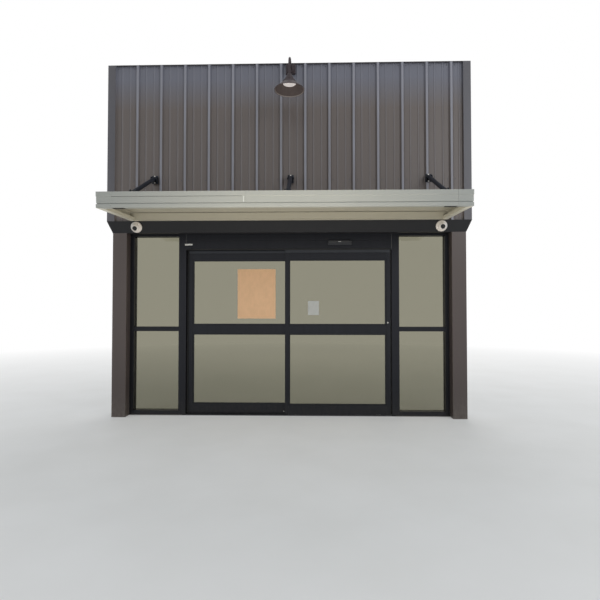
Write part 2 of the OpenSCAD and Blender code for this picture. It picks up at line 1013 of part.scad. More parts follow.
// Section of the edge extrusion: outwards is -X, up is +Y
module edge_section() {
    w = canopy_wall;
    inner = edge_step + w;
    shelf = inner + edge_ledge;
    groove = [edge_bead, edge_bead + edge_groove_h];
    polygon([
        [0, 0],
        [0, groove[0]],
        [edge_groove_d, groove[0]],
        [edge_groove_d, groove[1]],
        [edge_step, groove[1]],
        [edge_step, canopy_h - edge_band - edge_step],
        [0, canopy_h - edge_band],
        [0, canopy_h],
        [shelf, canopy_h],
        [shelf, canopy_h - w],
        [inner, canopy_h - w],
        [inner, soffit_up],
        [shelf, soffit_up],
        [shelf, soffit_up - w],
        [inner, soffit_up - w],
        [inner, groove[1] + w],
        [edge_groove_d + w, groove[1] + w],
        [edge_groove_d + w, groove[0] - w],
        [inner, groove[0] - w],
        [inner, w],
        [edge_trough - w, w],
        [edge_trough - w, edge_bead],
        [edge_trough, edge_bead],
        [edge_trough, 0]
    ]);
}

// Front length of the edge, mitred into the sides, with a drain slot near each end
module canopy_front() {
    slot_y = -canopy_out + edge_step + canopy_wall + (edge_trough - edge_step - 2 * canopy_wall) / 2;
    color(light_metal)
        in_canopy()
            difference() {
                intersection() {
                    translate([-canopy_x, -canopy_out, 0])
                        rotate([90, 0, 90])
                            linear_extrude(canopy_w)
                                edge_section();
                    translate([0, 0, -over])
                        linear_extrude(canopy_h + 2 * over)
                            polygon([
                                [-canopy_x, -canopy_out],
                                [canopy_x, -canopy_out],
                                [canopy_x - edge_reach, -canopy_out + edge_reach],
                                [-canopy_x + edge_reach, -canopy_out + edge_reach]
                            ]);
                }
                for (side = [0, 1])
                    mirror([side, 0, 0])
                        box([canopy_x - drain_in - drain_l, slot_y - drain_w / 2, -over],
                            [canopy_x - drain_in, slot_y + drain_w / 2, canopy_wall + over]);
            }
}

// Space kept by the wall and its channel, cut from what slopes
module behind_ledger() {
    box([-clad_x, clad_front - sheet - ledger_d, canopy_z - canopy_h],
        [clad_x, clad_front + canopy_out, canopy_z + 2 * canopy_h]);
}

module canopy_side_right() {
    color(light_metal)
        difference() {
            in_canopy()
                intersection() {
                    translate([canopy_x, 0, 0])
                        rotate([90, 0, 0])
                            mirror([1, 0, 0])
                                linear_extrude(canopy_out)
                                    edge_section();
                    translate([0, 0, -over])
                        linear_extrude(canopy_h + 2 * over)
                            polygon([
                                [canopy_x, -canopy_out],
                                [canopy_x, 0],
                                [canopy_x - edge_reach, 0],
                                [canopy_x - edge_reach, -canopy_out + edge_reach]
                            ]);
                }
            behind_ledger();
        }
}

module canopy_side_left() {
    mirrored() canopy_side_right();
}

// Channel on the wall that takes the back of the deck
module canopy_ledger() {
    lip = ledger_lip;
    back = clad_front - sheet;
    tall = canopy_h - ledger_drop;
    color(light_metal)
        along_x(-canopy_x, canopy_x)
            translate([back - ledger_d, canopy_z])
                polygon([
                    [0, 0],
                    [0, lip],
                    [canopy_wall, lip],
                    [canopy_wall, canopy_wall],
                    [ledger_d - canopy_wall, canopy_wall],
                    [ledger_d - canopy_wall, tall - canopy_wall],
                    [canopy_wall, tall - canopy_wall],
                    [canopy_wall, soffit_up - canopy_wall],
                    [0, soffit_up - canopy_wall],
                    [0, tall],
                    [ledger_d, tall],
                    [ledger_d, 0]
                ]);
}

// Interlocking planks: flat soffit below, a standing rib at each joint
module canopy_deck() {
    inner = canopy_x - deck_edge;
    rib_top = deck_top - soffit_up - 2 * fit;
    count = floor(2 * inner / plank_w);
    margin = (2 * inner - count * plank_w) / 2;
    ribs = [for (k = [0 : count]) -inner + margin + k * plank_w];
    color(light_metal)
        difference() {
            in_canopy()
                along_y(-canopy_out + deck_edge, 0)
                    translate([0, soffit_up + fit])
                        difference() {
                            union() {
                                translate([-inner, 0])
                                    square([2 * inner, canopy_wall]);
                                for (x = ribs) {
                                    translate([x - canopy_wall / 2, 0])
                                        square([canopy_wall, rib_top]);
                                    translate([x - plank_tee / 2, rib_top - canopy_wall])
                                        square([plank_tee, canopy_wall]);
                                }
                            }
                            for (x = ribs)
                                translate([x, 0])
                                    circle(r = plank_groove / 2, $fn = 4);
                        }
            behind_ledger();
        }
}

// Canopy struts

// Upper and lower pin in the YZ plane
top_pin = [clad_front - sheet - strut_top_out, strut_top_z];
foot_flat = [-canopy_out + strut_foot_in, deck_top + strut_foot_up];
foot_pin = [
    clad_front - sheet + foot_flat[0] * cos(canopy_slope) - foot_flat[1] * sin(canopy_slope),
    canopy_z + foot_flat[0] * sin(canopy_slope) + foot_flat[1] * cos(canopy_slope)
];
strut_run = top_pin - foot_pin;
strut_length = norm(strut_run);
strut_angle = atan2(strut_run[1], strut_run[0]);

// Open tube with a hole through each end for its pin
module strut(x) {
    color(dark_metal)
        translate([x, foot_pin[0], foot_pin[1]])
            rotate([strut_angle, 0, 0])
                difference() {
                    tube(strut_r, strut_end);
                    tube(strut_r - strut_wall, strut_end + over);
                    for (y = [0, strut_length])
                        translate([0, y, 0])
                            rod_x(pin_r + fit, 2 * strut_r + 2 * over);
                }
}

// Round bar along a strut that runs on past both pins
module tube(r, past_pin) {
    translate([0, -past_pin, 0])
        rotate([-90, 0, 0])
            cylinder(r = r, h = strut_length + 2 * past_pin, $fn = 64);
}

module strut_left() {
    strut(strut_x[0]);
}

module strut_middle() {
    strut(strut_x[1]);
}

module strut_right() {
    strut(strut_x[2]);
}

// Block of half a width and half a height that stands on a rail and reaches out through the cladding
module wall_block(x, z, half, loose) {
    box([x - half[0] - loose, clad_front - sheet, z - half[1] - loose],
        [x + half[0] + loose, pan_back + loose, z + half[1] + loose]);
}

module strut_block(x, loose = 0) {
    wall_block(x, strut_top_z, [block_w / 2, block_h / 2], loose);
}

// Two lugs and a pin, the pin at the origin, the base plate at a distance along -Z
module clevis(base, plate) {
    gap = strut_r + lug_gap;
    for (side = [-1, 1])
        translate([side * (gap + lug_t / 2), 0, 0]) {
            rod_x(lug_r, lug_t);
            translate([-lug_t / 2, -lug_r, -base])
                cube([lug_t, 2 * lug_r, base]);
        }
    rod_x(pin_r, 2 * (gap + lug_t + pin_end));
    translate([-plate[0] / 2, -plate[1] / 2, -base - lug_t])
        cube([plate[0], plate[1], lug_t]);
}

module strut_wall_plates() {
    color(dark_metal)
        for (x = strut_x) {
            translate([x, top_pin[0], top_pin[1]])
                rotate([90, 0, 0])
                    clevis(strut_top_out - lug_t, [wall_plate_w, wall_plate_h]);
            strut_block(x);
        }
}

module strut_deck_plates() {
    color(dark_metal)
        in_canopy()
            for (x = strut_x)
                translate([x, foot_flat[0], foot_flat[1]])
                    clevis(strut_foot_up - lug_t, [deck_plate_w, deck_plate_d]);
}

// Cameras

// Ball in a round base on the sloping fascia, with a sunk lens window that looks down
module camera_right() {
    lean = atan2(clad_out, fascia_h);
    place = [pier_inner - camera_inset, (clad_front + pier_front) / 2 - sheet, fascia_bottom + fascia_h / 2];
    base_top = camera_base_h + camera_bevel_h;
    window = ball_r - lens_set;
    color(white_plastic)
        translate(place)
            rotate([90 + lean, 0, 0])
                difference() {
                    union() {
                        rotate_extrude($fn = 96)
                            polygon([
                                [0, 0],
                                [camera_r, 0],
                                [camera_r, camera_base_h],
                                [camera_r - camera_bevel_w, base_top],
                                [0, base_top]
                            ]);
                        translate([0, 0, ball_up])
                            sphere(r = ball_r, $fn = 96);
                    }
                    translate([-camera_r, -camera_r, -2 * camera_r])
                        cube(2 * camera_r);
                    translate([0, 0, ball_up])
                        rotate([look_down, look_out, 0])
                            translate([0, 0, window])
                                lens_window();
                }
}

// Room in front of the lens, round its raised middle
module lens_window() {
    difference() {
        cylinder(r1 = lens_r, r2 = lens_r + lens_set, h = lens_set + over, $fn = 64);
        cylinder(r = lens_r / 2, h = lens_set / 2, $fn = 48);
    }
}

module camera_left() {
    mirrored() camera_right();
}

// Wall lamp

module lamp_mount(loose = 0) {
    wall_block(lamp_x, lamp_z, [lamp_block / 2, lamp_block / 2], loose);
}

// Block, round wall plate and the pipe that bends down to the housing
module lamp_arm() {
    face = clad_front - sheet;
    bend_y = lamp_y + arm_bend;
    color(dark_metal) {
        lamp_mount();
        translate([lamp_x, 0, lamp_z]) {
            translate([0, face, 0])
                rotate([90, 0, 0]) {
                    cylinder(r = lamp_plate_r, h = lamp_plate_t, $fn = 64);
                    cylinder(r = arm_r, h = face - bend_y, $fn = 48);
                }
            translate([0, bend_y, -arm_bend])
                rotate([0, -90, 0])
                    rotate_extrude(angle = -90, $fn = 64)
                        translate([arm_bend, 0])
                            circle(r = arm_r, $fn = 48);
            translate([0, lamp_y, -arm_bend - arm_down])
                cylinder(r = arm_r, h = arm_down, $fn = 48);
        }
    }
}

// Spun shade with its conical housing on top
module lamp_shade() {
    ceiling = shade_h - shade_wall;
    color(dark_metal)
        translate([lamp_x, lamp_y, shade_z])
            rotate_extrude($fn = 96)
                polygon([
                    [shade_r - shade_wall, 0],
                    [shade_r, 0],
                    [shade_r, shade_lip],
                    [housing_r, shade_h],
                    [housing_r, shade_h + shade_lip],
                    [housing_top_r, shade_h + housing_h],
                    [0, shade_h + housing_h],
                    [0, ceiling],
                    [housing_r, ceiling],
                    [shade_r - shade_wall, shade_lip - shade_wall / 2]
                ]);
}

// Frosted disc under the housing, bevelled round its lower edge
module lamp_lens() {
    edge = lamp_lens_t / 2;
    color(white_plastic)
        translate([lamp_x, lamp_y, shade_z + shade_h - shade_wall - lamp_lens_t])
            rotate_extrude($fn = 96)
                polygon([
                    [0, 0],
                    [lamp_lens_r - edge, 0],
                    [lamp_lens_r, edge],
                    [lamp_lens_r, lamp_lens_t],
                    [0, lamp_lens_t]
                ]);
}

pier_left();
pier_right();
head_beam();
girt_low();
girt_strut();
girt_top();
cladding();
side_trim_left();
side_trim_right();
wall_liner();
top_closure();
fascia();
sidelite_frame_left();
sidelite_frame_right();
sidelite_glass_left_upper();
sidelite_glass_left_lower();
sidelite_glass_right_upper();
sidelite_glass_right_lower();
jamb_left();
jamb_right();
header();
header_cover();
track();
threshold();
jamb_filler();
fixed_frame();
fixed_glass_upper();
fixed_glass_lower();
leaf_frame();
leaf_glass_upper();
leaf_glass_lower();
leaf_seal();
lock_cylinder();
hangers();
rollers();
floor_guide();
sensor_outside();
sensor_inside();
canopy_front();
canopy_side_left();
canopy_side_right();
canopy_ledger();
canopy_deck();
strut_left();
strut_middle();
strut_right();
strut_wall_plates();
strut_deck_plates();
camera_left();
camera_right();
lamp_arm();
lamp_shade();
lamp_lens();
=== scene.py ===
# %% [markdown]
# # Automatic sliding entrance: the finished look
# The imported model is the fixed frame: it holds every size and every moving body.
# This script never moves it. It puts worked metal, seals, screws and finishes on it.
# Two bodies matter: the entrance that stands still, and the leaf that slides.

import math

import bmesh
import bpy
from mathutils import Matrix, Vector


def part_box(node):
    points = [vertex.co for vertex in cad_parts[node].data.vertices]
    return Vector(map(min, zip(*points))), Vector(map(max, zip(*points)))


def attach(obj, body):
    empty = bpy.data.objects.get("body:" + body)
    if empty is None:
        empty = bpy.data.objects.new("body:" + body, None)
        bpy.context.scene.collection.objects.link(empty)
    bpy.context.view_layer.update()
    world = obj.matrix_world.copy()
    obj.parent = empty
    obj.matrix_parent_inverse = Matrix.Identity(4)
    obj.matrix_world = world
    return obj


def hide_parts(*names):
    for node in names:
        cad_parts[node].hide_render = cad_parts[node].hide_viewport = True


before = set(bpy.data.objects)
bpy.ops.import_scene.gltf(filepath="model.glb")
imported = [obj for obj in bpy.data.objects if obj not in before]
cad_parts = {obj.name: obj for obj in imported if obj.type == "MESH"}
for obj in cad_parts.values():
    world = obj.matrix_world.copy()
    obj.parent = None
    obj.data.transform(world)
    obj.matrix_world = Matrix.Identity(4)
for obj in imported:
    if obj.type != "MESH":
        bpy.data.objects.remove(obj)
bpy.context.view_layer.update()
MM = 0.001
STANDS, SLIDES = "entrance", "sliding_leaf"
FRONT, BACK, UP = (0, -1, 0), (0, 1, 0), (0, 0, 1)      # ways that a piece can face

# %% [markdown]
# ## Camera
# The photograph was taken from in front, a little right of the middle and 1.35 m above
# the floor. Place, turn and lens were found by fitting straight edges of the door to it.
# The lens is wide and stands lower than the canopy, so the canopy's underside shows.

# %% Stand the camera in front
FITTED_PLACE = (0.2917, -5.8605, 1.3525)      # metres
FITTED_TILT, FITTED_TURN = 91.296, 1.394      # degrees; 90 and 0 would be level and square

lens = bpy.data.cameras.new("front_camera")
lens.sensor_width, lens.lens, lens.clip_end = 36, 27.06, 400
camera = bpy.data.objects.new("front_camera", lens)
camera.location = FITTED_PLACE
camera.rotation_euler = (math.radians(FITTED_TILT), 0, math.radians(FITTED_TURN))
bpy.context.scene.collection.objects.link(camera)
bpy.context.scene.camera = camera
bpy.context.scene.view_settings.view_transform = "Standard"
print("camera at", tuple(camera.location))


# %% [markdown]
# ## A short way to build nodes
# Materials and Geometry Nodes both grow from small nodes wired together.
# One helper adds a node and fills its sockets, with a number or with another output.

# %% Node helpers
def put(tree, kind, sockets=None, **settings):
    """Adds a node; each named or numbered socket gets a value or a link."""
    made = tree.nodes.new(kind)
    for name, value in settings.items():
        setattr(made, name, value)
    for name, value in (sockets or {}).items():
        if isinstance(value, bpy.types.NodeSocket):
            tree.links.new(value, made.inputs[name])
        else:
            made.inputs[name].default_value = value
    return made


def get(tree, kind, sockets=None, **settings):
    """Adds a node and gives its first output."""
    return put(tree, kind, sockets, **settings).outputs[0]


def maths(tree, how, first, second=0.0):
    """The output of one Math node."""
    return get(tree, "ShaderNodeMath", {0: first, 1: second}, operation=how)


def spread(tree, value, low, high, to_low=0.0, to_high=1.0):
    """The value, stretched from one range to another and kept inside it."""
    sockets = {0: value, 1: low, 2: high, 3: to_low, 4: to_high}
    return get(tree, "ShaderNodeMapRange", sockets, clamp=True)


def tint(tree, mask, under, over):
    """The colour under a mask, mixed with the colour over it."""
    sockets = {0: mask, 6: under, 7: over}
    return put(tree, "ShaderNodeMix", sockets, data_type="RGBA").outputs[2]


def chart(red, green, blue):
    """A colour as a paint chart gives it, 0 to 255, made linear for the shader."""
    steps = [value / 255 for value in (red, green, blue)]
    return (*[s / 12.92 if s < 0.04045 else ((s + 0.055) / 1.055) ** 2.4 for s in steps], 1)


def darker(colour, share):
    """A linear colour with only a share of its light."""
    return (*[share * part for part in colour[:3]], 1)


def here(tree):
    """The shaded point in metres, in the object's own space."""
    return put(tree, "ShaderNodeTexCoord").outputs["Object"]


def split(tree, vector):
    """X, Y and Z of a vector."""
    return put(tree, "ShaderNodeSeparateXYZ", {0: vector}).outputs


# %% [markdown]
# ## Effects that several finishes share
# Rain leaves long vertical streaks, sprayed and anodised coats have a fine grain, thin
# sheet bulges slightly, corners rub bare and dust settles near the floor.
# Each effect is a node group, built once, so that every finish sets only its own values.
# Heights come out in metres, so that a bump is as deep as the real one.

# %% Helpers for node groups
def add_inputs(tree, inputs, kind="NodeSocketFloat"):
    """Named inputs on the outside of a group, each with its usual value."""
    for label, value in inputs.items():
        socket = tree.interface.new_socket(label, in_out="INPUT", socket_type=kind)
        if value is not None:
            socket.default_value = value


def shader_group(name, inputs, outputs):
    """An empty group: its tree, the values it is given and the sockets it fills."""
    tree = bpy.data.node_groups.new(name, "ShaderNodeTree")
    add_inputs(tree, inputs)
    for label in outputs:
        tree.interface.new_socket(label, in_out="OUTPUT", socket_type="NodeSocketFloat")
    given = tree.nodes.new("NodeGroupInput").outputs
    return tree, given, tree.nodes.new("NodeGroupOutput").inputs


def noise(tree, size, detail):
    """Noise in object space whose marks have a size in metres along X, Y and Z."""
    sizes = get(tree, "ShaderNodeCombineXYZ", dict(enumerate(size)))
    scaled = get(tree, "ShaderNodeVectorMath", {0: here(tree), 1: sizes}, operation="DIVIDE")
    settings = {"Vector": scaled, "Scale": 1.0, "Detail": detail}
    return get(tree, "ShaderNodeTexNoise", settings)


def marks(tree, wide, tall, detail=3):
    """Noise whose marks have a width and a height in metres."""
    return noise(tree, (wide, wide, tall), detail)


# %% Streaks, grain and bulges
streaks, given, fill = shader_group(
    "rain_streaks", {"Width": 0.05, "Length": 1.2, "Amount": 0.5}, ["Mask"]
)
run = spread(streaks, marks(streaks, given["Width"], given["Length"]), 0.42, 0.72)
streaks.links.new(maths(streaks, "MULTIPLY", run, given["Amount"]), fill["Mask"])

grain, given, fill = shader_group(
    "coat_grain", {"Size": 0.002, "Depth": 0.00002}, ["Height", "Mask"]
)
pores = marks(grain, given["Size"], given["Size"], 2)
grain.links.new(maths(grain, "MULTIPLY", pores, given["Depth"]), fill["Height"])
grain.links.new(pores, fill["Mask"])

bulge, given, fill = shader_group("sheet_bulge", {"Size": 0.6, "Depth": 0.001}, ["Height"])
swell = marks(bulge, given["Size"], given["Size"], 1)
bulge.links.new(maths(bulge, "MULTIPLY", swell, given["Depth"]), fill["Height"])
print("made rain_streaks, coat_grain and sheet_bulge")

# %% [markdown]
# ### Rubbed edges and dust
# The Bevel node gives the normal that an edge would have if it were rounder.
# Where that differs from the true normal an edge is near, and paint there wears first.
# Dust needs only the height above the floor, broken up by noise.

# %% Edge wear and dust
wear, given, fill = shader_group("edge_wear", {"Radius": 0.002, "Amount": 0.5}, ["Mask"])
rounder = get(wear, "ShaderNodeBevel", {"Radius": given["Radius"]}, samples=4)
true_normal = put(wear, "ShaderNodeNewGeometry").outputs["Normal"]
turned_away = put(
    wear, "ShaderNodeVectorMath", {0: rounder, 1: true_normal}, operation="DOT_PRODUCT"
).outputs["Value"]
near_edge = spread(wear, turned_away, 0.98, 0.80)
chips = spread(wear, marks(wear, 0.02, 0.05, 5), 0.48, 0.62)
rubbed = maths(wear, "MULTIPLY", near_edge, chips)
wear.links.new(maths(wear, "MULTIPLY", rubbed, given["Amount"]), fill["Mask"])

dust, given, fill = shader_group("ground_dust", {"Reach": 0.4, "Amount": 0.5}, ["Mask"])
height = split(dust, here(dust))[2]
fade = spread(dust, maths(dust, "DIVIDE", height, given["Reach"]), 1.0, 0.0)
specks = spread(dust, marks(dust, 0.03, 0.06, 6), 0.35, 0.75, 0.25, 1.0)
lying = maths(dust, "MULTIPLY", maths(dust, "POWER", fade, 2.0), specks)
dust.links.new(maths(dust, "MULTIPLY", lying, given["Amount"]), fill["Mask"])
print("made edge_wear and ground_dust")


# %% [markdown]
# ## Coated metal
# Nearly everything here is aluminium or steel under a coat: dark anodised door
# sections, painted pier and wall sheet, a pale powder coat on the canopy.
# They differ in colour, gloss and wear but not in kind, so one recipe makes them all.
# The shader stays in the material; only masks and heights come from the groups.

# %% Recipe for coated metal
COAT_DUST, FINE_DUST = chart(150, 141, 128), chart(120, 112, 100)


def new_finish(name, roughness, metallic=0.0, specular=0.5):
    """A new material: its tree and its shader, with the plain values set."""
    finish = bpy.data.materials.new(name)
    finish.use_nodes = True
    shader = finish.node_tree.nodes["Principled BSDF"]
    shader.inputs["Roughness"].default_value = roughness
    shader.inputs["Metallic"].default_value = metallic
    shader.inputs["Specular IOR Level"].default_value = specular
    return finish, finish.node_tree, shader.inputs


def use(tree, group, **values):
    """Places a group with its own values and returns its outputs."""
    return put(tree, "ShaderNodeGroup", values, node_tree=group).outputs


def uneven(tree, mask, roughness, below=0.05, above=0.05):
    """Roughness that a mask moves a little below and above its usual value."""
    return spread(tree, mask, 0.3, 0.7, roughness - below, roughness + above)


def emboss(tree, into, height):
    """Raises the surface by a height in metres."""
    bump = get(tree, "ShaderNodeBump", {"Height": height, "Distance": 1.0, "Strength": 1.0})
    tree.links.new(bump, into["Normal"])


def coated_metal(
    name, colour, roughness, metallic=0.0, specular=0.5, run=(0.06, 1.2, 0.5), shade=0.7,
    peel=(0.002, 0.00002), swell=(0.6, 0.0), rub=0.3, bare=(150, 150, 150), dusty=0.4,
):
    """Streaks darken the coat, edges rub bare and dust pales it near the floor."""
    finish, tree, into = new_finish(name, roughness, metallic, specular)
    rain = use(tree, streaks, Width=run[0], Length=run[1], Amount=run[2])
    skin = use(tree, grain, Size=peel[0], Depth=peel[1])
    sheet = use(tree, bulge, Size=swell[0], Depth=swell[1])
    worn = use(tree, wear, Radius=0.002, Amount=rub)
    dirt = use(tree, dust, Reach=0.45, Amount=dusty)
    full = chart(*colour)
    coat = tint(tree, rain["Mask"], full, darker(full, shade))
    coat = tint(tree, worn["Mask"], coat, chart(*bare))
    tree.links.new(tint(tree, dirt["Mask"], coat, COAT_DUST), into["Base Color"])
    dull = maths(tree, "MULTIPLY", dirt["Mask"], 0.3)
    gloss = maths(tree, "ADD", uneven(tree, skin["Mask"], roughness), dull)
    tree.links.new(gloss, into["Roughness"])
    emboss(tree, into, maths(tree, "ADD", skin["Height"], sheet["Height"]))
    return finish


# %% [markdown]
# ## The metal finishes
# Door, header, threshold and sidelites: dark anodised, satin. Carrier rails: paler as a painted
# reflection, worn.
# Piers: brown paint with some gloss. Fascia: nearly black and duller. The sheet of both
# bulges a little. Wall: warm grey paint. Corner trims: a cooler grey.
# Canopy: pale grey coat that rain has marked. The soffit is painted warmer and the sides
# lighter, as painted light from the ground below; the corners are a little darker as painted
# shade; the splice cover has a tone of its own.
# Struts: blue-black paint. Lamp: brown enamel, with painted light on its inner wall and a
# painted highlight on its rim. The liner inside is pale sheet.

# %% Make the metal finishes
ANODISED = {"metallic": 0.85, "peel": (0.0012, 0.000006)}      # peel: size, depth in metres
SPRAYED = {"peel": (0.003, 0.00002)}
CANOPY = {"peel": (0.002, 0.00003), "shade": 0.9, "rub": 0.2}
ENAMEL = {"specular": 0.25}

door_coat = coated_metal("dark_anodised_section", (42, 43, 47), 0.36, run=(0.03, 0.8, 0.35),
                         rub=0.35, bare=(120, 118, 114), dusty=0.06, **ANODISED)
# Carrier rails: paler than the door, a painted reflection of the bright ground; edges wear too.
rail_reflection_coat = coated_metal("anodised_rail_painted_reflection", (60, 62, 66), 0.4, run=(0.05, 0.4, 0.3),
                         bare=(130, 128, 124), dusty=0.0, **ANODISED)
pier_coat = coated_metal("pier_paint", (79, 69, 66), 0.34, run=(0.10, 1.6, 0.4), shade=0.85,
                         swell=(0.7, 0.0012), dusty=0.35, **SPRAYED)
fascia_coat = coated_metal("fascia_paint", (38, 38, 40), 0.44, specular=0.25, shade=0.85,
                           run=(0.10, 0.3, 0.3), swell=(0.8, 0.0012), **SPRAYED)
wall_coat = coated_metal("wall_sheet_paint", (109, 99, 94), 0.38, run=(0.028, 2.4, 0.4),
                         shade=0.82, swell=(0.5, 0.0006), rub=0.25, **SPRAYED)
trim_coat = coated_metal("corner_trim_paint", (91, 89, 94), 0.38, run=(0.05, 1.6, 0.4),
                         shade=0.8, swell=(0.5, 0.0006), rub=0.25, **SPRAYED)
canopy_coat = coated_metal("canopy_powder_coat", (188, 187, 177), 0.42, run=(0.16, 0.5, 0.25),
                           swell=(0.9, 0.0008), **CANOPY)
# Soffit: the canopy's coat painted warmer, standing in for warm light from the ground below.
soffit_painted_light_coat = coated_metal("canopy_soffit_painted_warm_light", (187, 182, 166), 0.42, run=(0.16, 0.5, 0.25),
                           swell=(0.9, 0.0008), **CANOPY)
# Sides: the canopy's coat painted lighter, standing in for light from the ground on shaded faces.
side_painted_light_coat = coated_metal("canopy_side_painted_light", (212, 207, 190), 0.42, run=(0.16, 0.5, 0.2),
                         **CANOPY)
# Corners: the canopy's coat painted a little darker, a painted shade.
corner_painted_shade_coat = coated_metal("canopy_corner_painted_shade", (182, 183, 175), 0.44, run=(0.16, 0.5, 0.3),
                           **CANOPY)
splice_coat = coated_metal("splice_cover_coat", (228, 228, 220), 0.4, run=(0.16, 0.5, 0.1),
                           peel=CANOPY["peel"], rub=0)
strut_coat = coated_metal("strut_paint", (27, 32, 42), 0.46, specular=0.3, run=(0.05, 0.6, 0.4),
                          rub=0.5, bare=(150, 146, 140))
lamp_coat = coated_metal("lamp_enamel", (67, 57, 60), 0.5, run=(0.04, 0.2, 0.2), rub=0.5,
                         bare=(150, 142, 132), **ENAMEL)
# Lining: the enamel painted paler, standing in for light that falls into the shade from below.
lining_painted_light_coat = coated_metal("shade_lining_painted_light", (110, 99, 97), 0.5, run=(0.03, 0.05, 0.5),
                           shade=0.75, rub=0, **ENAMEL)
# Rim: a painted highlight where the rolled rim catches the light.
rim_highlight_coat = coated_metal("shade_rim_painted_highlight", (168, 157, 152), 0.45, run=(0.03, 0.05, 0.3),
                        rub=0.6, bare=(170, 160, 150))
liner_coat = coated_metal("liner_sheet_paint", (176, 174, 168), 0.5, run=(0.2, 2.0, 0.3),
                          shade=0.88, swell=(0.8, 0.001), rub=0.2)
print("metal finishes:", len(bpy.data.materials))

# %% [markdown]
# ### Painted highlights on the crests
# The crests of the wall's ribs are painted pale and a little blue: a painted highlight where
# they catch the light. A crest stands out from the pan, so its depth in the wall is the
# mask. The low ribs get a trace of it, and the whole sheet near its top gets a bluish
# painted reflection of the sky.

# %% Paint highlights and a sky reflection on the wall sheet
TALL_CREST = (-0.2315, -0.2355)      # Y in metres where the paleness starts and is full
LOW_CREST = (-0.2115, -0.2127)
ABOVE_LOW = (-0.2145, -0.2135)       # Y where it has stopped again on the way to a tall crest
SKY_REFLECTION_HEIGHTS = (3.9, 4.3)                # Z in metres


def coat_over(tree, mask, colour):
    """Lays a colour over what a finish shows already, where its mask says."""
    shown = tree.nodes["Principled BSDF"].inputs["Base Color"]
    tree.links.new(tint(tree, mask, shown.links[0].from_socket, colour), shown)


tree = wall_coat.node_tree
place = split(tree, here(tree))
patchy = spread(tree, marks(tree, 0.05, 0.7), 0.3, 0.7, 0.6, 1.0)
low_crest_highlight = maths(tree, "MULTIPLY", spread(tree, place[1], *LOW_CREST, 0.0, 0.22),
                  spread(tree, place[1], *ABOVE_LOW))
crest_highlights = maths(tree, "ADD", spread(tree, place[1], *TALL_CREST), low_crest_highlight)
# Painted reflection of the sky: the sheet turns bluish towards its top.
coat_over(tree, spread(tree, place[2], *SKY_REFLECTION_HEIGHTS, 0.0, 0.65), chart(117, 122, 138))
# Painted highlight: the crests turn pale and a little blue.
coat_over(tree, maths(tree, "MULTIPLY", crest_highlights, patchy), chart(152, 151, 159))
print("crest highlights painted")

# %% [markdown]
# ### Painted shade on the canopy ends
# The front edge is painted greyer towards both ends and stays pale in the middle, as
# painted shade for the light that falls off towards the ends. The distance from the middle
# is the mask. The soffit and sides keep coats of their own.

# %% Paint shade on the ends of the canopy
PAINTED_END_SHADE = (0.5, 1.75)      # metres from the middle where the grey starts and is full

for coat in (canopy_coat, corner_painted_shade_coat):
    tree = coat.node_tree
    from_middle = maths(tree, "ABSOLUTE", split(tree, here(tree))[0])
    # Painted shade: the front edge turns grey towards both ends.
    coat_over(tree, spread(tree, from_middle, *PAINTED_END_SHADE, 0.0, 0.75), chart(150, 152, 148))
print("canopy ends painted in shade")

# %% [markdown]
# ## Bare metal, rubber and plastic
# Track, hangers, the lock's plug, end plates and bolts are bare metal, brushed along
# the run of the door. The brushing is noise that is very long one way and very thin the
# other. Hidden structural steel is galvanised, whose crystals are a Voronoi pattern.
# Rubber and plastic have the fine grain of their mould, a faint mottle and some dust.

# %% Bare metals
brushed, given, fill = shader_group(
    "brushed_lines", {"Run": 0.3, "Line": 0.0006, "Depth": 0.000004}, ["Height", "Mask"]
)
lines = noise(brushed, (given["Run"], given["Line"], given["Line"]), 2)
brushed.links.new(maths(brushed, "MULTIPLY", lines, given["Depth"]), fill["Height"])
brushed.links.new(lines, fill["Mask"])


def bare_metal(name, colour, roughness):
    """Brushed metal, a little darker and rougher between the bright lines."""
    finish, tree, into = new_finish(name, roughness, metallic=1.0)
    cut = use(tree, brushed)
    full = chart(*colour)
    tree.links.new(tint(tree, cut["Mask"], darker(full, 0.8), full), into["Base Color"])
    tree.links.new(uneven(tree, cut["Mask"], roughness, 0.06, 0.06), into["Roughness"])
    emboss(tree, into, cut["Height"])
    return finish


bright_metal = bare_metal("brushed_aluminium", (190, 188, 184), 0.32)
bolt_metal = bare_metal("zinc_fastener", (150, 148, 144), 0.36)

galvanised, tree, into = new_finish("galvanised_steel", 0.45, metallic=0.9)
crystals = put(tree, "ShaderNodeTexVoronoi", {"Vector": here(tree), "Scale": 55.0})
shine = get(tree, "ShaderNodeSeparateColor", {0: crystals.outputs["Color"]})
tree.links.new(tint(tree, shine, chart(118, 122, 126), chart(158, 161, 163)), into["Base Color"])
tree.links.new(spread(tree, shine, 0, 1, 0.34, 0.55), into["Roughness"])
print("bare metals made")


# %% Rubber and moulded plastic
def moulded(name, colour, roughness, size=0.0015, depth=0.00002, mottle=0.85, dusty=0.2):
    """Plastic or rubber with the fine grain of its mould and a faint mottle."""
    finish, tree, into = new_finish(name, roughness)
    skin = use(tree, grain, Size=size, Depth=depth)
    dirt = use(tree, dust, Reach=0.3, Amount=dusty)
    cloud = spread(tree, marks(tree, 0.04, 0.07, 4), 0.35, 0.7)
    full = chart(*colour)
    base = tint(tree, cloud, full, darker(full, mottle))
    tree.links.new(tint(tree, dirt["Mask"], base, FINE_DUST), into["Base Color"])
    tree.links.new(uneven(tree, skin["Mask"], roughness, above=0.08), into["Roughness"])
    emboss(tree, into, skin["Height"])
    return finish


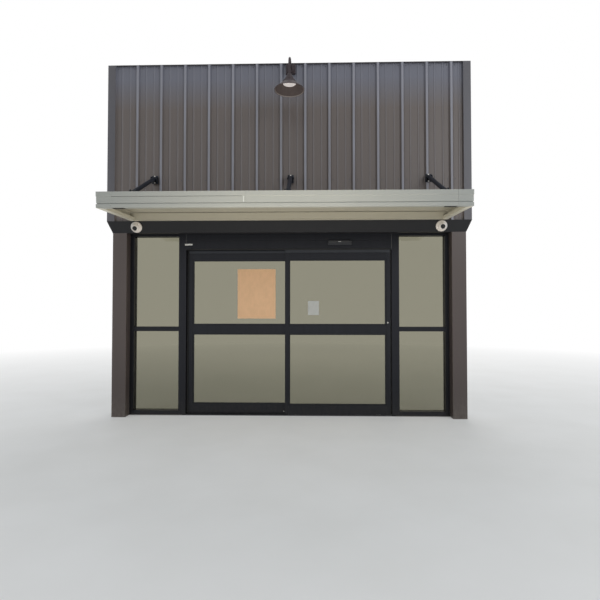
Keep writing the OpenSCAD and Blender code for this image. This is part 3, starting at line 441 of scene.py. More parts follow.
rubber = moulded("glazing_rubber", (20, 20, 21), 0.6)
bristle = moulded("brush_pile", (26, 26, 28), 0.75)
nylon = moulded("roller_nylon", (206, 202, 190), 0.4)
camera_shell = moulded("camera_shell", (248, 240, 233), 0.36, mottle=0.96)
camera_black = moulded("camera_bezel", (14, 14, 16), 0.22, depth=0.000004)
sensor_shell = moulded("sensor_shell", (33, 34, 38), 0.42)
sensor_lens = moulded("sensor_window", (12, 12, 15), 0.12, depth=0.000002)
sealant = moulded("pale_sealant", (150, 146, 140), 0.7, size=0.004, depth=0.0002)
frost = moulded("lamp_frost", (240, 232, 230), 0.5, mottle=0.97)
lit = frost.node_tree.nodes["Principled BSDF"].inputs
lit["Emission Color"].default_value = (1, 0.95, 0.93, 1)
lit["Emission Strength"].default_value = 0.3
latch_shell = moulded("latch_shell", (214, 214, 212), 0.45)
peach_sheet = moulded("peach_card", (216, 175, 136), 0.55, size=0.003, mottle=0.93, dusty=0)
white_sheet = moulded("white_card", (174, 175, 172), 0.55, size=0.003, mottle=0.93, dusty=0)
print("plastics and rubber made")

# %% [markdown]
# ## Glass
# Each pane is one 12 mm sheet, tinted a dark olive, with faint wipe marks.
# Glass casts a soft shadow only if light may pass it, and Cycles blocks light there.
# So light on its way to a shadow meets a see-through shader of the same tint instead.

# %% Glass
pane_tint = (0.245, 0.235, 0.172, 1)


def clear(name, colour, low, high):
    """Tinted glass with faint wipe marks that lets light through to its shadow."""
    finish, tree, into = new_finish(name, low)
    into["Base Color"].default_value = colour
    into["Transmission Weight"].default_value = 1.0
    into["IOR"].default_value = 1.5
    wiped = spread(tree, marks(tree, 0.35, 0.12, 5), 0.45, 0.75, low, high)
    tree.links.new(wiped, into["Roughness"])
    open_way = get(tree, "ShaderNodeBsdfTransparent", {"Color": colour})
    shadow = put(tree, "ShaderNodeLightPath").outputs["Is Shadow Ray"]
    glass = tree.nodes["Principled BSDF"].outputs[0]
    both = put(tree, "ShaderNodeMixShader", {0: shadow, 1: glass, 2: open_way})
    tree.links.new(both.outputs[0], tree.nodes["Material Output"].inputs[0])
    return finish


pane_glass = clear("pane_glass", pane_tint, 0.0, 0.03)
print("glass tint", pane_tint)


# %% [markdown]
# ## Working the metal
# Real edges are never knife sharp: a small round catches the light and makes a part
# readable. Each section is a closed block with eased edges, placed by its two corners.
# Weighted normals keep the big faces flat while the rounds stay smooth.

# %% Blocks, turned parts and copies
def round_off(work, edges, offset):
    """Rounds edges by an offset in metres."""
    bmesh.ops.bevel(work, geom=edges, offset=offset, segments=2, profile=0.5, affect="EDGES")


def block(work, low, high, edge=0.8):
    """Adds a closed block between two corners in mm, with eased edges."""
    low, high = Vector(low), Vector(high)
    made = bmesh.ops.create_cube(work, size=1.0)["verts"]
    bmesh.ops.scale(work, vec=(high - low) * MM, verts=made)
    bmesh.ops.translate(work, vec=(low + high) / 2 * MM, verts=made)
    edges = list({link for corner in made for link in corner.link_edges})
    round_off(work, edges, min(edge, 0.4 * min(high - low)) * MM)


def turned(work, outline, place, axis, sides=48):
    """Adds a closed turned part; the outline is radius and height in mm, pole to pole."""
    turn = Vector(axis).to_track_quat("Z", "Y")
    rings = []
    for radius, rise in outline:
        count = sides if radius else 1
        spots = [(radius * math.cos(math.tau * k / sides), radius * math.sin(math.tau * k / sides))
                 for k in range(count)]
        rings.append([work.verts.new((turn @ Vector((x, y, rise)) + Vector(place)) * MM)
                      for x, y in spots])
    for lower, upper in zip(rings, rings[1:]):
        for k in range(sides):
            ahead = (k + 1) % sides
            around = [lower[k % len(lower)], lower[ahead % len(lower)],
                      upper[ahead % len(upper)], upper[k % len(upper)]]
            corners = list(dict.fromkeys(around))
            if len(corners) > 2:
                work.faces.new(corners)


def sharp_edges(work, angle):
    """Edges where two faces meet at more than an angle in radians."""
    return [e for e in work.edges if e.is_manifold and e.calc_face_angle() > angle]


def copy_of(node, edge=0.0):
    """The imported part's own shape as new mesh, its triangles merged and its edges eased."""
    work = bmesh.new()
    work.from_mesh(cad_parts[node].data)
    bmesh.ops.remove_doubles(work, verts=work.verts, dist=0.005 * MM)
    bmesh.ops.dissolve_limit(work, angle_limit=math.radians(1), verts=work.verts, edges=work.edges)
    if edge:
        round_off(work, sharp_edges(work, math.radians(25)), edge * MM)
    return work


# %% Bringing a piece into the scene
def keep_result(piece):
    """Applies the modifiers of a piece and keeps the plain mesh."""
    graph = bpy.context.evaluated_depsgraph_get()
    plain = bpy.data.meshes.new_from_object(piece.evaluated_get(graph))
    piece.modifiers.clear()
    piece.data = plain


def soften(piece, smooth):
    """Keeps flat faces flat and rounds smooth, up to an angle in degrees."""
    piece.data.shade_smooth()
    piece.data.set_sharp_from_angle(angle=math.radians(smooth))
    piece.modifiers.new("flat_faces", "WEIGHTED_NORMAL").keep_sharp = True
    keep_result(piece)


def register(piece, body, replaces=()):
    """Says which body carries the piece and the parts it stands for."""
    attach(piece, body)
    if replaces:
        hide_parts(*replaces)
    print(f"{piece.name}: {len(piece.data.polygons)} faces on {body}")


def add_piece(name, work, body, finish, replaces=(), smooth=50):
    """Turns worked mesh into a piece."""
    mesh = bpy.data.meshes.new(name)
    work.to_mesh(mesh)
    work.free()
    mesh.materials.append(finish)
    piece = bpy.data.objects.new(name, mesh)
    bpy.context.scene.collection.objects.link(piece)
    soften(piece, smooth)
    register(piece, body, replaces)


def add_blocks(name, boxes, body, finish, edge=0.8, turn=None):
    """One piece from boxes, each given by two corners in mm; a turn moves them all."""
    work = bmesh.new()
    for low, high in boxes:
        block(work, low, high, edge)
    if turn is not None:
        bmesh.ops.transform(work, matrix=turn, verts=work.verts)
    add_piece(name, work, body, finish)


def box_mm(node):
    """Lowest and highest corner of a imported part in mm."""
    low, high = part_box(node)
    return low / MM, high / MM


def dress(finish, *nodes):
    """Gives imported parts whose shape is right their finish."""
    for node in nodes:
        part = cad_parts[node]
        if not part.material_slots:
            part.data.materials.append(finish)
        for slot in part.material_slots:
            slot.material = finish


# %% [markdown]
# ## Glazed frames
# A stile or rail is an extrusion. Around each pane runs a glazing stop, a snap-in bar
# that is set back a little, and between stop and glass a black gasket lip.
# Rails butt against stiles, so a hairline shows at each corner of the real frame.
# All of it is blocks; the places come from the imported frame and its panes.

# %% Frame builder
BITE, LIP, HAIR, PLAY = 12.0, 2.5, 0.3, 0.2      # mm: hidden edge of a pane, gasket, joints
GROOVE, CARRIER = 3.0, 40.0                      # mm: groove, and how far below the top it is


def glazed_frame(metal, gaskets, frame_node, pane_nodes, stop, set_back, groove):
    """Stiles, rails, stops and gaskets of one frame."""
    low, high = box_mm(frame_node)
    panes = [box_mm(node) for node in pane_nodes]
    glass_front, glass_back = panes[0][0].y, panes[0][1].y
    left, right = panes[0][0].x + BITE, panes[0][1].x - BITE
    lights = [(a.z + BITE, b.z - BITE) for a, b in panes]
    block(metal, low, (left - stop, high.y, high.z))
    block(metal, (right + stop, low.y, low.z), high)
    ends = [low.z] + [z for light in lights for z in (light[0] - stop, light[1] + stop)] + [high.z]
    for bottom, top in zip(ends[::2], ends[1::2]):
        cuts = [(bottom, top, 0)]
        if groove and bottom < groove < top:
            cuts = [(bottom, groove - GROOVE, 0), (groove - GROOVE, groove, GROOVE),
                    (groove, top, 0)]
        for start, end, deep in cuts:
            block(metal, (left - stop + HAIR, low.y + deep, start),
                  (right + stop - HAIR, high.y, end))
    sides = [(low.y + set_back, glass_front - LIP, glass_front - PLAY),
             (high.y - set_back, glass_back + LIP, glass_back + PLAY)]
    for bottom, top in lights:
        for outer, inner, glass in sides:
            ring(metal, (left, right, bottom, top), stop, 0, outer, inner)
            ring(gaskets, (left, right, bottom, top), 8, 1.5, inner, glass, edge=0.6)


def ring(work, opening, out, inwards, y_first, y_second, edge=0.8):
    """Four bars round an opening, the upright ones running through."""
    left, right, bottom, top = opening
    front, back = sorted((y_first, y_second))
    for a, b in ((left - out, left + inwards), (right - inwards, right + out)):
        block(work, (a, front, bottom - out), (b, back, top + out), edge)
    for a, b in ((bottom - out, bottom + inwards), (top - inwards, top + out)):
        block(work, (left + inwards + PLAY, front, a), (right - inwards - PLAY, back, b), edge)


# %% Build the four glazed frames
leaf_low, leaf_high = box_mm("leaf_frame")
still_rubber, moving_rubber = bmesh.new(), bmesh.new()
wide, slim = (18, 5, leaf_high.z - CARRIER), (14, 4, None)      # stop, set back, groove
frames = [
    ("leaf_frame", "leaf_glass", SLIDES, moving_rubber, wide),
    ("fixed_frame", "fixed_glass", STANDS, still_rubber, wide),
    ("sidelite_frame_left", "sidelite_glass_left", STANDS, still_rubber, slim),
    ("sidelite_frame_right", "sidelite_glass_right", STANDS, still_rubber, slim),
]
for node, pane, body, lip, section in frames:
    metal = bmesh.new()
    panes = [pane + "_lower", pane + "_upper"]
    glazed_frame(metal, lip, node, panes, *section)
    add_piece(node + "_sections", metal, body, door_coat, [node])
    dress(pane_glass, *panes)
add_piece("leaf_gaskets", moving_rubber, SLIDES, rubber)
add_piece("standing_gaskets", still_rubber, STANDS, rubber)

# %% Carrier rails along the top of leaf and fixed panel
# The rails' paler coat is a painted reflection of the bright ground below.
for node, body in {"leaf_frame": SLIDES, "fixed_frame": STANDS}.items():
    low, high = box_mm(node)
    rail = ((low.x + 1, low.y - 0.9, leaf_high.z - CARRIER + 0.5),
            (high.x - 1, low.y + 0.6, leaf_high.z - 0.5))
    add_blocks(node + "_carrier", [rail], body, rail_reflection_coat, 0.5)

# %% [markdown]
# ## Parts that keep their own shape
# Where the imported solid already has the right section, a copy of it is merged, eased
# at its edges and shown in its place. Thin folded sheet gets a smaller round than a
# post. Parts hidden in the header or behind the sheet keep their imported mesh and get
# only a finish.

# %% Header, jambs, piers, wall and canopy
copies = [
    ("door_metal", door_coat, 1.0, ["jamb_left", "jamb_right"]),
    ("door_metal", door_coat, 0.8, ["header", "header_cover"]),
    ("door_metal", door_coat, 0.3, ["threshold"]),
    ("pier_metal", pier_coat, 1.5, ["pier_left", "pier_right"]),
    ("pier_metal", fascia_coat, 0.6, ["fascia"]),
    ("wall_metal", trim_coat, 0.6, ["side_trim_left", "side_trim_right"]),
    ("canopy_metal", side_painted_light_coat, 1.0, ["canopy_side_left", "canopy_side_right"]),
    ("canopy_metal", soffit_painted_light_coat, 1.0, ["canopy_ledger"]),
    ("canopy_metal", soffit_painted_light_coat, 0.6, ["canopy_deck"]),
    ("strut_metal", strut_coat, 0.8,
     ["strut_left", "strut_middle", "strut_right", "strut_wall_plates", "strut_deck_plates"]),
    ("strut_metal", lamp_coat, 0.8, ["lamp_arm"]),
]
for slot, finish, edge, nodes in copies:
    for node in nodes:
        add_piece(node + "_worked", copy_of(node, edge), STANDS, finish, [node])

dress(galvanised, "head_beam", "girt_low", "girt_strut", "girt_top")
dress(trim_coat, "top_closure")
dress(liner_coat, "wall_liner")
dress(bright_metal, "track", "hangers")
dress(nylon, "rollers", "floor_guide")
# The jamb filler is dressed black as painted shade of the deep recess beside the jamb.
dress(rubber, "leaf_seal", "jamb_filler")

# %% [markdown]
# ## Canopy edge in lengths
# The front edge is not one piece: short corners meet two long extrusions, and a
# hairline shows at each joint. The copy is cut by planes and each end is closed.

# %% Cut the canopy's front edge
CORNER_JOINT, SPLICE = 1820, -391      # mm along X; the corners' joints mirror each other
HALF_JOINT, OUTSIDE = 0.6, 5           # mm: half a hairline, and clear of the ends


def cut_length(node, start, end):
    """The part of a node between two places along X, with closed ends."""
    work = copy_of(node)
    for place, normal in ((start, (-1, 0, 0)), (end, (1, 0, 0))):
        everything = [*work.verts, *work.edges, *work.faces]
        cut = bmesh.ops.bisect_plane(
            work, geom=everything, plane_co=(place * MM, 0, 0), plane_no=normal,
            clear_outer=True, dist=1e-7,
        )["geom_cut"]
        rim = [part for part in cut if isinstance(part, bmesh.types.BMEdge)]
        if rim:
            bmesh.ops.contextual_create(work, geom=rim)
    return work


canopy_left, canopy_right = (corner.x for corner in box_mm("canopy_front"))
joints = [canopy_left - OUTSIDE, -CORNER_JOINT, SPLICE, CORNER_JOINT, canopy_right + OUTSIDE]
lengths = list(zip(joints, joints[1:]))
for name, spans, coat in (
    ("canopy_front_lengths", lengths[1:3], canopy_coat),
    ("canopy_front_corners", [lengths[0], lengths[3]], corner_painted_shade_coat),
):
    edge_mesh = bmesh.new()
    for start, end in spans:
        part = cut_length("canopy_front", start + HALF_JOINT, end - HALF_JOINT)
        bmesh.ops.recalc_face_normals(part, faces=part.faces)
        loose = bpy.data.meshes.new("length")
        part.to_mesh(loose)
        part.free()
        edge_mesh.from_mesh(loose)
    round_off(edge_mesh, sharp_edges(edge_mesh, 0.45), 0.8 * MM)
    add_piece(name, edge_mesh, STANDS, coat, ["canopy_front"])

# %% [markdown]
# ## Ribbed wall sheet
# The wall is rolled sheet whose section repeats: one tall rib, two low ones.
# That is a rule, so Geometry Nodes draw it: a line of points is pushed into the
# section by its own numbering, the bends are filleted, and the line is drawn up into
# a sheet with a front and a back. Pitch, heights and radius stay open as inputs.


# %% Geometry Nodes helpers
def growth(name, numbers, others=None):
    """An empty Geometry Nodes tree: its tree, the values given and the mesh to fill."""
    tree = bpy.data.node_groups.new(name, "GeometryNodeTree")
    tree.interface.new_socket("Mesh", in_out="INPUT", socket_type="NodeSocketGeometry")
    add_inputs(tree, numbers)
    for label, kind in (others or {}).items():
        tree.interface.new_socket(label, in_out="INPUT", socket_type=kind)
    tree.interface.new_socket("Mesh", in_out="OUTPUT", socket_type="NodeSocketGeometry")
    given = tree.nodes.new("NodeGroupInput").outputs
    return tree, given, tree.nodes.new("NodeGroupOutput").inputs["Mesh"]


def close_tree(tree, made, finish, fill):
    """Ends a tree: real mesh instead of instances, with its finish."""
    real = get(tree, "GeometryNodeRealizeInstances", {0: made})
    coated = get(tree, "GeometryNodeSetMaterial", {0: real, 2: finish})
    tree.links.new(coated, fill)


def grow(name, tree, values, points=()):
    """Runs a tree on loose points in mm and keeps the plain mesh that it makes."""
    seed = bpy.data.meshes.new(name)
    seed.from_pydata([Vector(point) * MM for point in points], [], [])
    piece = bpy.data.objects.new(name, seed)
    modifier = piece.modifiers.new("growth", "NODES")
    modifier.node_group = tree
    for socket in tree.interface.items_tree:
        if socket.in_out == "INPUT" and socket.name in values:
            modifier[socket.identifier] = values[socket.name]
    bpy.context.scene.collection.objects.link(piece)
    keep_result(piece)
    return piece


# %% Section of the ribbed sheet
FIRST_RIB, RIB_PITCH, PAN = -2217.6, 101.6, -207      # mm: X of a rib, next rib, Y of the pan
REPEAT, CORNERS = 3, 4                                # ribs in a repeat, corners of a rib

ribs, given, fill = growth(
    "ribbed_sheet",
    {"First rib": FIRST_RIB * MM, "Pitch": RIB_PITCH * MM, "Ribs": 45.0, "End": 2.2877,
     "Pan": PAN * MM, "Tall rib": 0.030, "Tall foot": 0.032, "Tall crest": 0.013,
     "Low rib": 0.006, "Low foot": 0.014, "Low crest": 0.006, "Bend": 0.004, "Bottom": 2.5,
     "Height": 1.0, "Sheet": 0.0012},
    {"Finish": "NodeSocketMaterial"},
)


def pick(when, yes, no):
    """One of two numbers, by a test."""
    return get(ribs, "GeometryNodeSwitch", {0: when, 1: no, 2: yes}, input_type="FLOAT")


number = maths(ribs, "SUBTRACT", get(ribs, "GeometryNodeInputIndex"), 1)
rib = maths(ribs, "FLOOR", maths(ribs, "DIVIDE", number, CORNERS))
corner = maths(ribs, "MODULO", number, CORNERS)
tall = maths(ribs, "LESS_THAN", maths(ribs, "MODULO", rib, REPEAT), 0.5)
off_middle = maths(ribs, "ABSOLUTE", maths(ribs, "SUBTRACT", corner, 1.5))
on_crest = maths(ribs, "LESS_THAN", off_middle, 1)
right = maths(ribs, "GREATER_THAN", corner, 1.5)
foot = pick(tall, given["Tall foot"], given["Low foot"])
crest = pick(tall, given["Tall crest"], given["Low crest"])
rise = pick(tall, given["Tall rib"], given["Low rib"])
half = pick(on_crest, crest, foot)
middle = maths(ribs, "ADD", given["First rib"], maths(ribs, "MULTIPLY", rib, given["Pitch"]))
across = maths(ribs, "ADD", middle, pick(right, half, maths(ribs, "MULTIPLY", half, -1)))
last = maths(ribs, "GREATER_THAN", rib, maths(ribs, "SUBTRACT", given["Ribs"], 0.5))
first = maths(ribs, "LESS_THAN", number, 0)
end = given["End"]
across = pick(first, maths(ribs, "MULTIPLY", end, -1), pick(last, end, across))
lifted = maths(ribs, "MULTIPLY", pick(first, 0.0, pick(last, 0.0, on_crest)), rise)
forward = maths(ribs, "SUBTRACT", given["Pan"], lifted)
spot = get(ribs, "ShaderNodeCombineXYZ", {0: across, 1: forward, 2: given["Bottom"]})
count = maths(ribs, "ADD", maths(ribs, "MULTIPLY", given["Ribs"], CORNERS), 2)
line = get(ribs, "GeometryNodeMeshLine", {"Count": count})
bent = get(ribs, "GeometryNodeSetPosition", {0: line, "Position": spot})
run = get(ribs, "GeometryNodeMeshToCurve", {0: bent})
eased = put(
    ribs, "GeometryNodeFilletCurve",
    {0: run, "Count": 3, "Radius": given["Bend"], "Limit Radius": True}, mode="POLY",
)
trace = get(ribs, "GeometryNodeCurveToMesh", {0: eased.outputs[0]})
up = get(ribs, "ShaderNodeCombineXYZ", {2: 1.0})
drawn = get(
    ribs, "GeometryNodeExtrudeMesh",
    {0: trace, "Offset": up, "Offset Scale": given["Height"]}, mode="EDGES",
)
print("section of the ribbed sheet drawn")

# %% Thickness of the ribbed sheet
behind = get(
    ribs, "GeometryNodeExtrudeMesh",
    {0: drawn, "Offset Scale": given["Sheet"], "Individual": False}, mode="FACES",
)
face = get(ribs, "GeometryNodeFlipFaces", {0: drawn})
both = put(ribs, "GeometryNodeJoinGeometry", {0: behind})
ribs.links.new(face, both.inputs[0])
shell = put(ribs, "GeometryNodeMergeByDistance", {0: both.outputs[0], "Distance": 0.00001})
close_tree(ribs, shell.outputs[0], given["Finish"], fill)

wall_low, wall_high = box_mm("cladding")
wall = grow("ribbed_wall_sheet", ribs, {
    "Finish": wall_coat, "Bottom": wall_low.z * MM, "Height": (wall_high.z - wall_low.z) * MM})
soften(wall, 50)
register(wall, STANDS, ["cladding"])

# %% [markdown]
# ## Screws, bolts and nuts
# Every screw, bolt, nut and rivet here has a hexagon head on a washer.
# One tree makes a head, puts it on every loose point it is given and turns each a
# little differently, as a fitter leaves them. Sizes and direction are its inputs.

# %% Tree for hexagon heads
heads, given, fill = growth(
    "hex_heads",
    {"Across flats": 0.010, "Head": 0.005, "Washer radius": 0.008, "Washer": 0.0015, "Seed": 1.0},
    {"Facing": "NodeSocketVector", "Finish": "NodeSocketMaterial"},
)


def stub(tree, sides, bottom, top, depth, lift):
    """A closed prism or frustum that stands on a height."""
    shape = get(
        tree, "GeometryNodeMeshCone",
        {"Vertices": sides, "Radius Bottom": bottom, "Radius Top": top, "Depth": depth},
    )
    shift = get(tree, "ShaderNodeCombineXYZ", {2: lift})
    return get(tree, "GeometryNodeTransform", {0: shape, "Translation": shift})


CORNER_SHARE = 0.577                         # corner radius of the width across flats
CHAMFER_SHARE, CROWN_SHARE = 0.2, 0.82       # of the head's height, of its corner radius
SIXTH_TURN = 1.05                            # radians

reach = maths(heads, "MULTIPLY", given["Across flats"], CORNER_SHARE)
chamfer = maths(heads, "MULTIPLY", given["Head"], CHAMFER_SHARE)
body = maths(heads, "SUBTRACT", given["Head"], chamfer)
top = maths(heads, "ADD", given["Washer"], body)
narrow = maths(heads, "MULTIPLY", reach, CROWN_SHARE)
washer = stub(heads, 16, given["Washer radius"], given["Washer radius"], given["Washer"], 0.0)
prism = stub(heads, 6, reach, reach, body, given["Washer"])
crown = stub(heads, 6, reach, narrow, chamfer, top)
whole = put(heads, "GeometryNodeJoinGeometry", {0: washer})
for part in (prism, crown):
    heads.links.new(part, whole.inputs[0])
aim = get(heads, "FunctionNodeAlignRotationToVector", {"Vector": given["Facing"]}, axis="Z")
angle = put(heads, "FunctionNodeRandomValue", {2: 0.0, 3: SIXTH_TURN, "Seed": given["Seed"]})
twist = get(heads, "FunctionNodeAxisAngleToRotation", {"Angle": angle.outputs[1]})
twisted = get(heads, "FunctionNodeRotateRotation", {0: aim, 1: twist}, rotation_space="LOCAL")
placed = get(
    heads, "GeometryNodeInstanceOnPoints",
    {0: given["Mesh"], "Instance": whole.outputs[0], "Rotation": twisted},
)
close_tree(heads, placed, given["Finish"], fill)
print("hex_heads grown from", len(heads.nodes), "nodes")


def fasteners(name, points, facing, finish, size):
    """Hexagon heads at points in mm; size is flats, head, washer radius, washer."""
    names = ("Across flats", "Head", "Washer radius", "Washer")
    values = {label: value * MM for label, value in zip(names, size)}
    values |= {"Facing": facing, "Finish": finish, "Seed": 3.0}
    piece = grow(name, heads, values, points)
    soften(piece, 30)
    register(piece, STANDS)


# %% Places that the struts and the lamp give
def middles(*nodes):
    """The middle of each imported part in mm."""
    return [(low + high) / 2 for low, high in map(box_mm, nodes)]


TRIM_FACE = -239                       # mm: front of the corner trims, back of the canopy
LUG, PIN, DECK_PLATE = -692, 214, 176      # mm on the canopy: Y of the lugs, Z of pin and plate
SLOPE = Matrix.Rotation(math.radians(2.75), 4, "X")      # the canopy rises to the wall

STRUTS = [middle.x for middle in middles("strut_left", "strut_middle", "strut_right")]
plates_low, plates_high = box_mm("strut_wall_plates")
upper_pin = Vector((0, plates_low.y + 30, (plates_low.z + plates_high.z) / 2))
canopy_origin = Vector((0, TRIM_FACE, box_mm("fascia")[1].z))
lamp = middles("lamp_shade")[0]
lamp_plate = Vector((lamp.x, -249, wall_high.z - 70))


def on_canopy(x, y, z):
    """A place in mm, given level, on the sloping canopy."""
    return canopy_origin + SLOPE @ Vector((x, y, z))


print("struts at", [round(x) for x in STRUTS], "upper pins at", round(upper_pin.z), "mm")

# %% Screws of the wall sheet and its corner trims
BESIDE_RIB, CANOPY_HALF, STRUT_HALF, LAMP_HALF, SHEET_HALF = 48, 1995, 52, 72, 2185      # mm

girts = [middle.z for middle in middles("girt_low", "girt_strut", "girt_top")]
wall_points = []
for k in range(15):
    for step in (-BESIDE_RIB, BESIDE_RIB):
        x = FIRST_RIB + REPEAT * RIB_PITCH * k + step
        at_strut = any(abs(x - strut) < STRUT_HALF for strut in STRUTS)
        taken = [abs(x) < CANOPY_HALF, at_strut, abs(x - lamp.x) < LAMP_HALF]
        if abs(x) < SHEET_HALF:
            wall_points += [(x, PAN, z) for z, hidden in zip(girts, taken) if not hidden]
fasteners("wall_screws", wall_points, FRONT, trim_coat, (8, 4.5, 7, 1.2))
trim_points = [(side * 2206, TRIM_FACE, 2560 + 230 * k) for side in (-1, 1) for k in range(9)]
fasteners("trim_rivets", trim_points, FRONT, trim_coat, (5, 1.6, 4, 0.6))

# %% Joints of the liner on the wall's inner side
STRIP_HALF, STRIP = 22, 2      # mm: half the width of a joint strip, its thickness

liner_low, liner_high = box_mm("wall_liner")
joint_places = [-1524, -508, 508, 1524]
strips = [((x - STRIP_HALF, liner_high.y - 0.4, liner_low.z + 3),
           (x + STRIP_HALF, liner_high.y + STRIP, liner_high.z - 3)) for x in joint_places]
add_blocks("liner_joint_strips", strips, STANDS, liner_coat, 1)
liner_points = [(x + dx, liner_high.y + STRIP, liner_low.z + 60 + 267 * k)
                for x in joint_places for dx in (-13, 13) for k in range(8)]
fasteners("liner_screws", liner_points, BACK, bolt_metal, (7, 3.5, 6.5, 1))

# %% Bolts of the canopy struts and of the lamp
plate_points = [(x, -247, upper_pin.z + dz) for x in STRUTS for dz in (-40, 40)]
fasteners("wall_plate_bolts", plate_points, FRONT, bright_metal, (17, 9, 9.8, 2.5))
deck_points = [on_canopy(x + dx, LUG + dy, DECK_PLATE)
               for x in STRUTS for dx in (-64, 64) for dy in (-34, 34)]
fasteners("deck_plate_bolts", deck_points, SLOPE @ Vector(UP),
          bolt_metal, (13, 8, 12, 2))
for name, side in (("pin_nuts_left", -1), ("pin_nuts_right", 1)):
    ends = [pin + Vector((x + side * 35, 0, 0))
            for pin in (on_canopy(0, LUG, PIN), upper_pin) for x in STRUTS]
    fasteners(name, ends, (side, 0, 0), strut_coat, (19, 6, 13, 2))
lamp_points = [lamp_plate + Vector((42 * math.cos(turn), 0, 42 * math.sin(turn)))
               for turn in (math.radians(45 + 90 * k) for k in range(4))]
fasteners("lamp_plate_screws", lamp_points, FRONT, lamp_coat, (7, 3, 6, 1))

# %% [markdown]
# ## Small parts of the canopy
# Black drain grilles fill the slots in the gutter. A thin black strip under the top band
# of the left length is a painted shadow where the band steps out; a pale strip stands
# beside the splice, and a snap-in cover closes the wall channel below the soffit. The first
# three are made level and then turned, because the canopy slopes.

# %% Drains, painted shadow line, splice cover and channel cover
turn = Matrix.Translation(canopy_origin * MM) @ SLOPE
grilles = [((a, -930, -2.5), (b, -877, 28)) for a, b in ((-1811, -1684), (1684, 1811))]
# A black strip under the top band: a painted shadow where the band steps out.
shadow_line = ((-1819, -935.5, 117.6), (-432, -932, 119.4))
strip = ((-418, -935.2, 53), (-409, -930, 117))
low, high = box_mm("canopy_ledger")
cover = ((low.x + 1, low.y + 2, low.z + 14.4), (high.x - 1, low.y + 3.6, low.z + 94))
add_blocks("canopy_drains", grilles, STANDS, rubber, 0.6, turn)
add_blocks("canopy_painted_shadow_line", [shadow_line], STANDS, rubber, 0.2, turn)
add_blocks("canopy_splice_cover", [strip], STANDS, splice_coat, 0.6, turn)
add_blocks("canopy_channel_cover", [cover], STANDS, soffit_painted_light_coat, 0.4)

# %% [markdown]
# ## Wall lamp
# The shade is spun metal with a rolled rim, and its housing is a cone with fine turned
# lines. A frosted disc that glows faintly closes the housing from below. Thin pale rings on
# the inner wall and the rim are painted light and a painted highlight. All of it is turned
# about one axis.

# %% Shade, housing and lens
foot = Vector((lamp.x, lamp.y, box_mm("lamp_shade")[0].z))
collars = [(83.6, 91), (72, 108), (61, 122), (51.5, 138), (42.5, 157), (35.5, 175)]
turns = [(r - inwards, z + up) for r, z in collars
         for inwards, up in ((0, 0), (0, 4), (1.5, 5.5), (1.5, 7.5))]
shade = bmesh.new()
turned(shade, [
    (0, 85), (83.4, 85), (84.4, 84.4), (130, 44.6), (173, 7), (174.2, 4.6), (174.6, 1.6),
    (176, 0.1), (177.4, 0.8), (178, 2.6), (178, 6), (177.2, 8), (130, 48.4), (87, 85.6),
    *turns, (30, 187.6), (29, 189.8), (0, 189.8)], foot, UP, 96)
add_piece("lamp_shade_spun", shade, STANDS, lamp_coat, ["lamp_shade"], 35)
disc = bmesh.new()
turned(disc, [(0, 77.2), (60, 77.4), (71, 78.2), (76, 80), (77, 84.9), (0, 84.9)], foot, UP, 96)
add_piece("lamp_disc", disc, STANDS, frost, ["lamp_lens"], 40)


def shade_ring(name, wall, finish):
    """A thin ring on the shade's inner wall that carries a painted light tone, from its outline;
    radius and height in mm.
    """
    work = bmesh.new()
    inside = [(r - 0.6, z - 0.5) for r, z in reversed(wall)]
    turned(work, [*wall, *inside, wall[0]], foot, UP, 96)
    bmesh.ops.remove_doubles(work, verts=work.verts, dist=0.001 * MM)
    bmesh.ops.recalc_face_normals(work, faces=work.faces)
    add_piece(name, work, STANDS, finish, (), 35)


lit_inner_wall = [(83.2, 84.2), (84.2, 83.8), (129.8, 44.2), (168.4, 10.7)]
shade_ring("lamp_shade_painted_light", lit_inner_wall, lining_painted_light_coat)
shade_ring("lamp_shade_rim_highlight", [(168.5, 10.6), (172.7, 6.7), (173.9, 4.5), (174.3, 1.6)], rim_highlight_coat)

# %% [markdown]
# ## Brush seals
# Where the leaf runs close to something, a strip of bristles stops the draught: over
# the leaf, under it, and between the leaf and the fixed panel.
# A tree sets thin three-sided bristles along a line, each leaning a little.
# A rubber fin over the leaf and a strip on the jamb close what is left.

# %% Tree for brush seals
brush, given, fill = growth(
    "brush_strip",
    {"Run": 1.0, "Spacing": 0.003, "Bristle": 0.010, "Thickness": 0.0009, "Lean": 0.12,
     "Seed": 5.0},
    {"Start": "NodeSocketVector", "Along": "NodeSocketVector", "Facing": "NodeSocketVector",
     "Finish": "NodeSocketMaterial"},
)
stride = {0: given["Along"], "Scale": given["Spacing"]}
step = get(brush, "ShaderNodeVectorMath", stride, operation="SCALE")
row = get(
    brush, "GeometryNodeMeshLine",
    {"Count": maths(brush, "DIVIDE", given["Run"], given["Spacing"]),
     "Start Location": given["Start"], "Offset": step},
)
lean = get(
    brush, "FunctionNodeRandomValue", {0: (-1, -1, -1), 1: (1, 1, 1), "Seed": given["Seed"]},
    data_type="FLOAT_VECTOR",
)
tilt = get(brush, "ShaderNodeVectorMath", {0: lean, "Scale": given["Lean"]}, operation="SCALE")
way = get(brush, "ShaderNodeVectorMath", {0: given["Facing"], 1: tilt})
hair = stub(brush, 3, given["Thickness"], maths(brush, "MULTIPLY", given["Thickness"], 0.6),
            given["Bristle"], 0.0)
aim = get(brush, "FunctionNodeAlignRotationToVector", {"Vector": way}, axis="Z")
placed = get(brush, "GeometryNodeInstanceOnPoints", {0: row, "Instance": hair, "Rotation": aim})
close_tree(brush, placed, given["Finish"], fill)
print("brush_strip grown from", len(brush.nodes), "nodes")


def brush_seal(name, start, along, facing, run, length, body):
    """A strip of bristles; start in mm, run and bristle length in mm."""
    values = {"Start": Vector(start) * MM, "Along": along, "Facing": facing, "Run": run * MM,
              "Bristle": length * MM, "Spacing": 0.0035, "Finish": bristle}
    register(grow(name, brush, values), body)


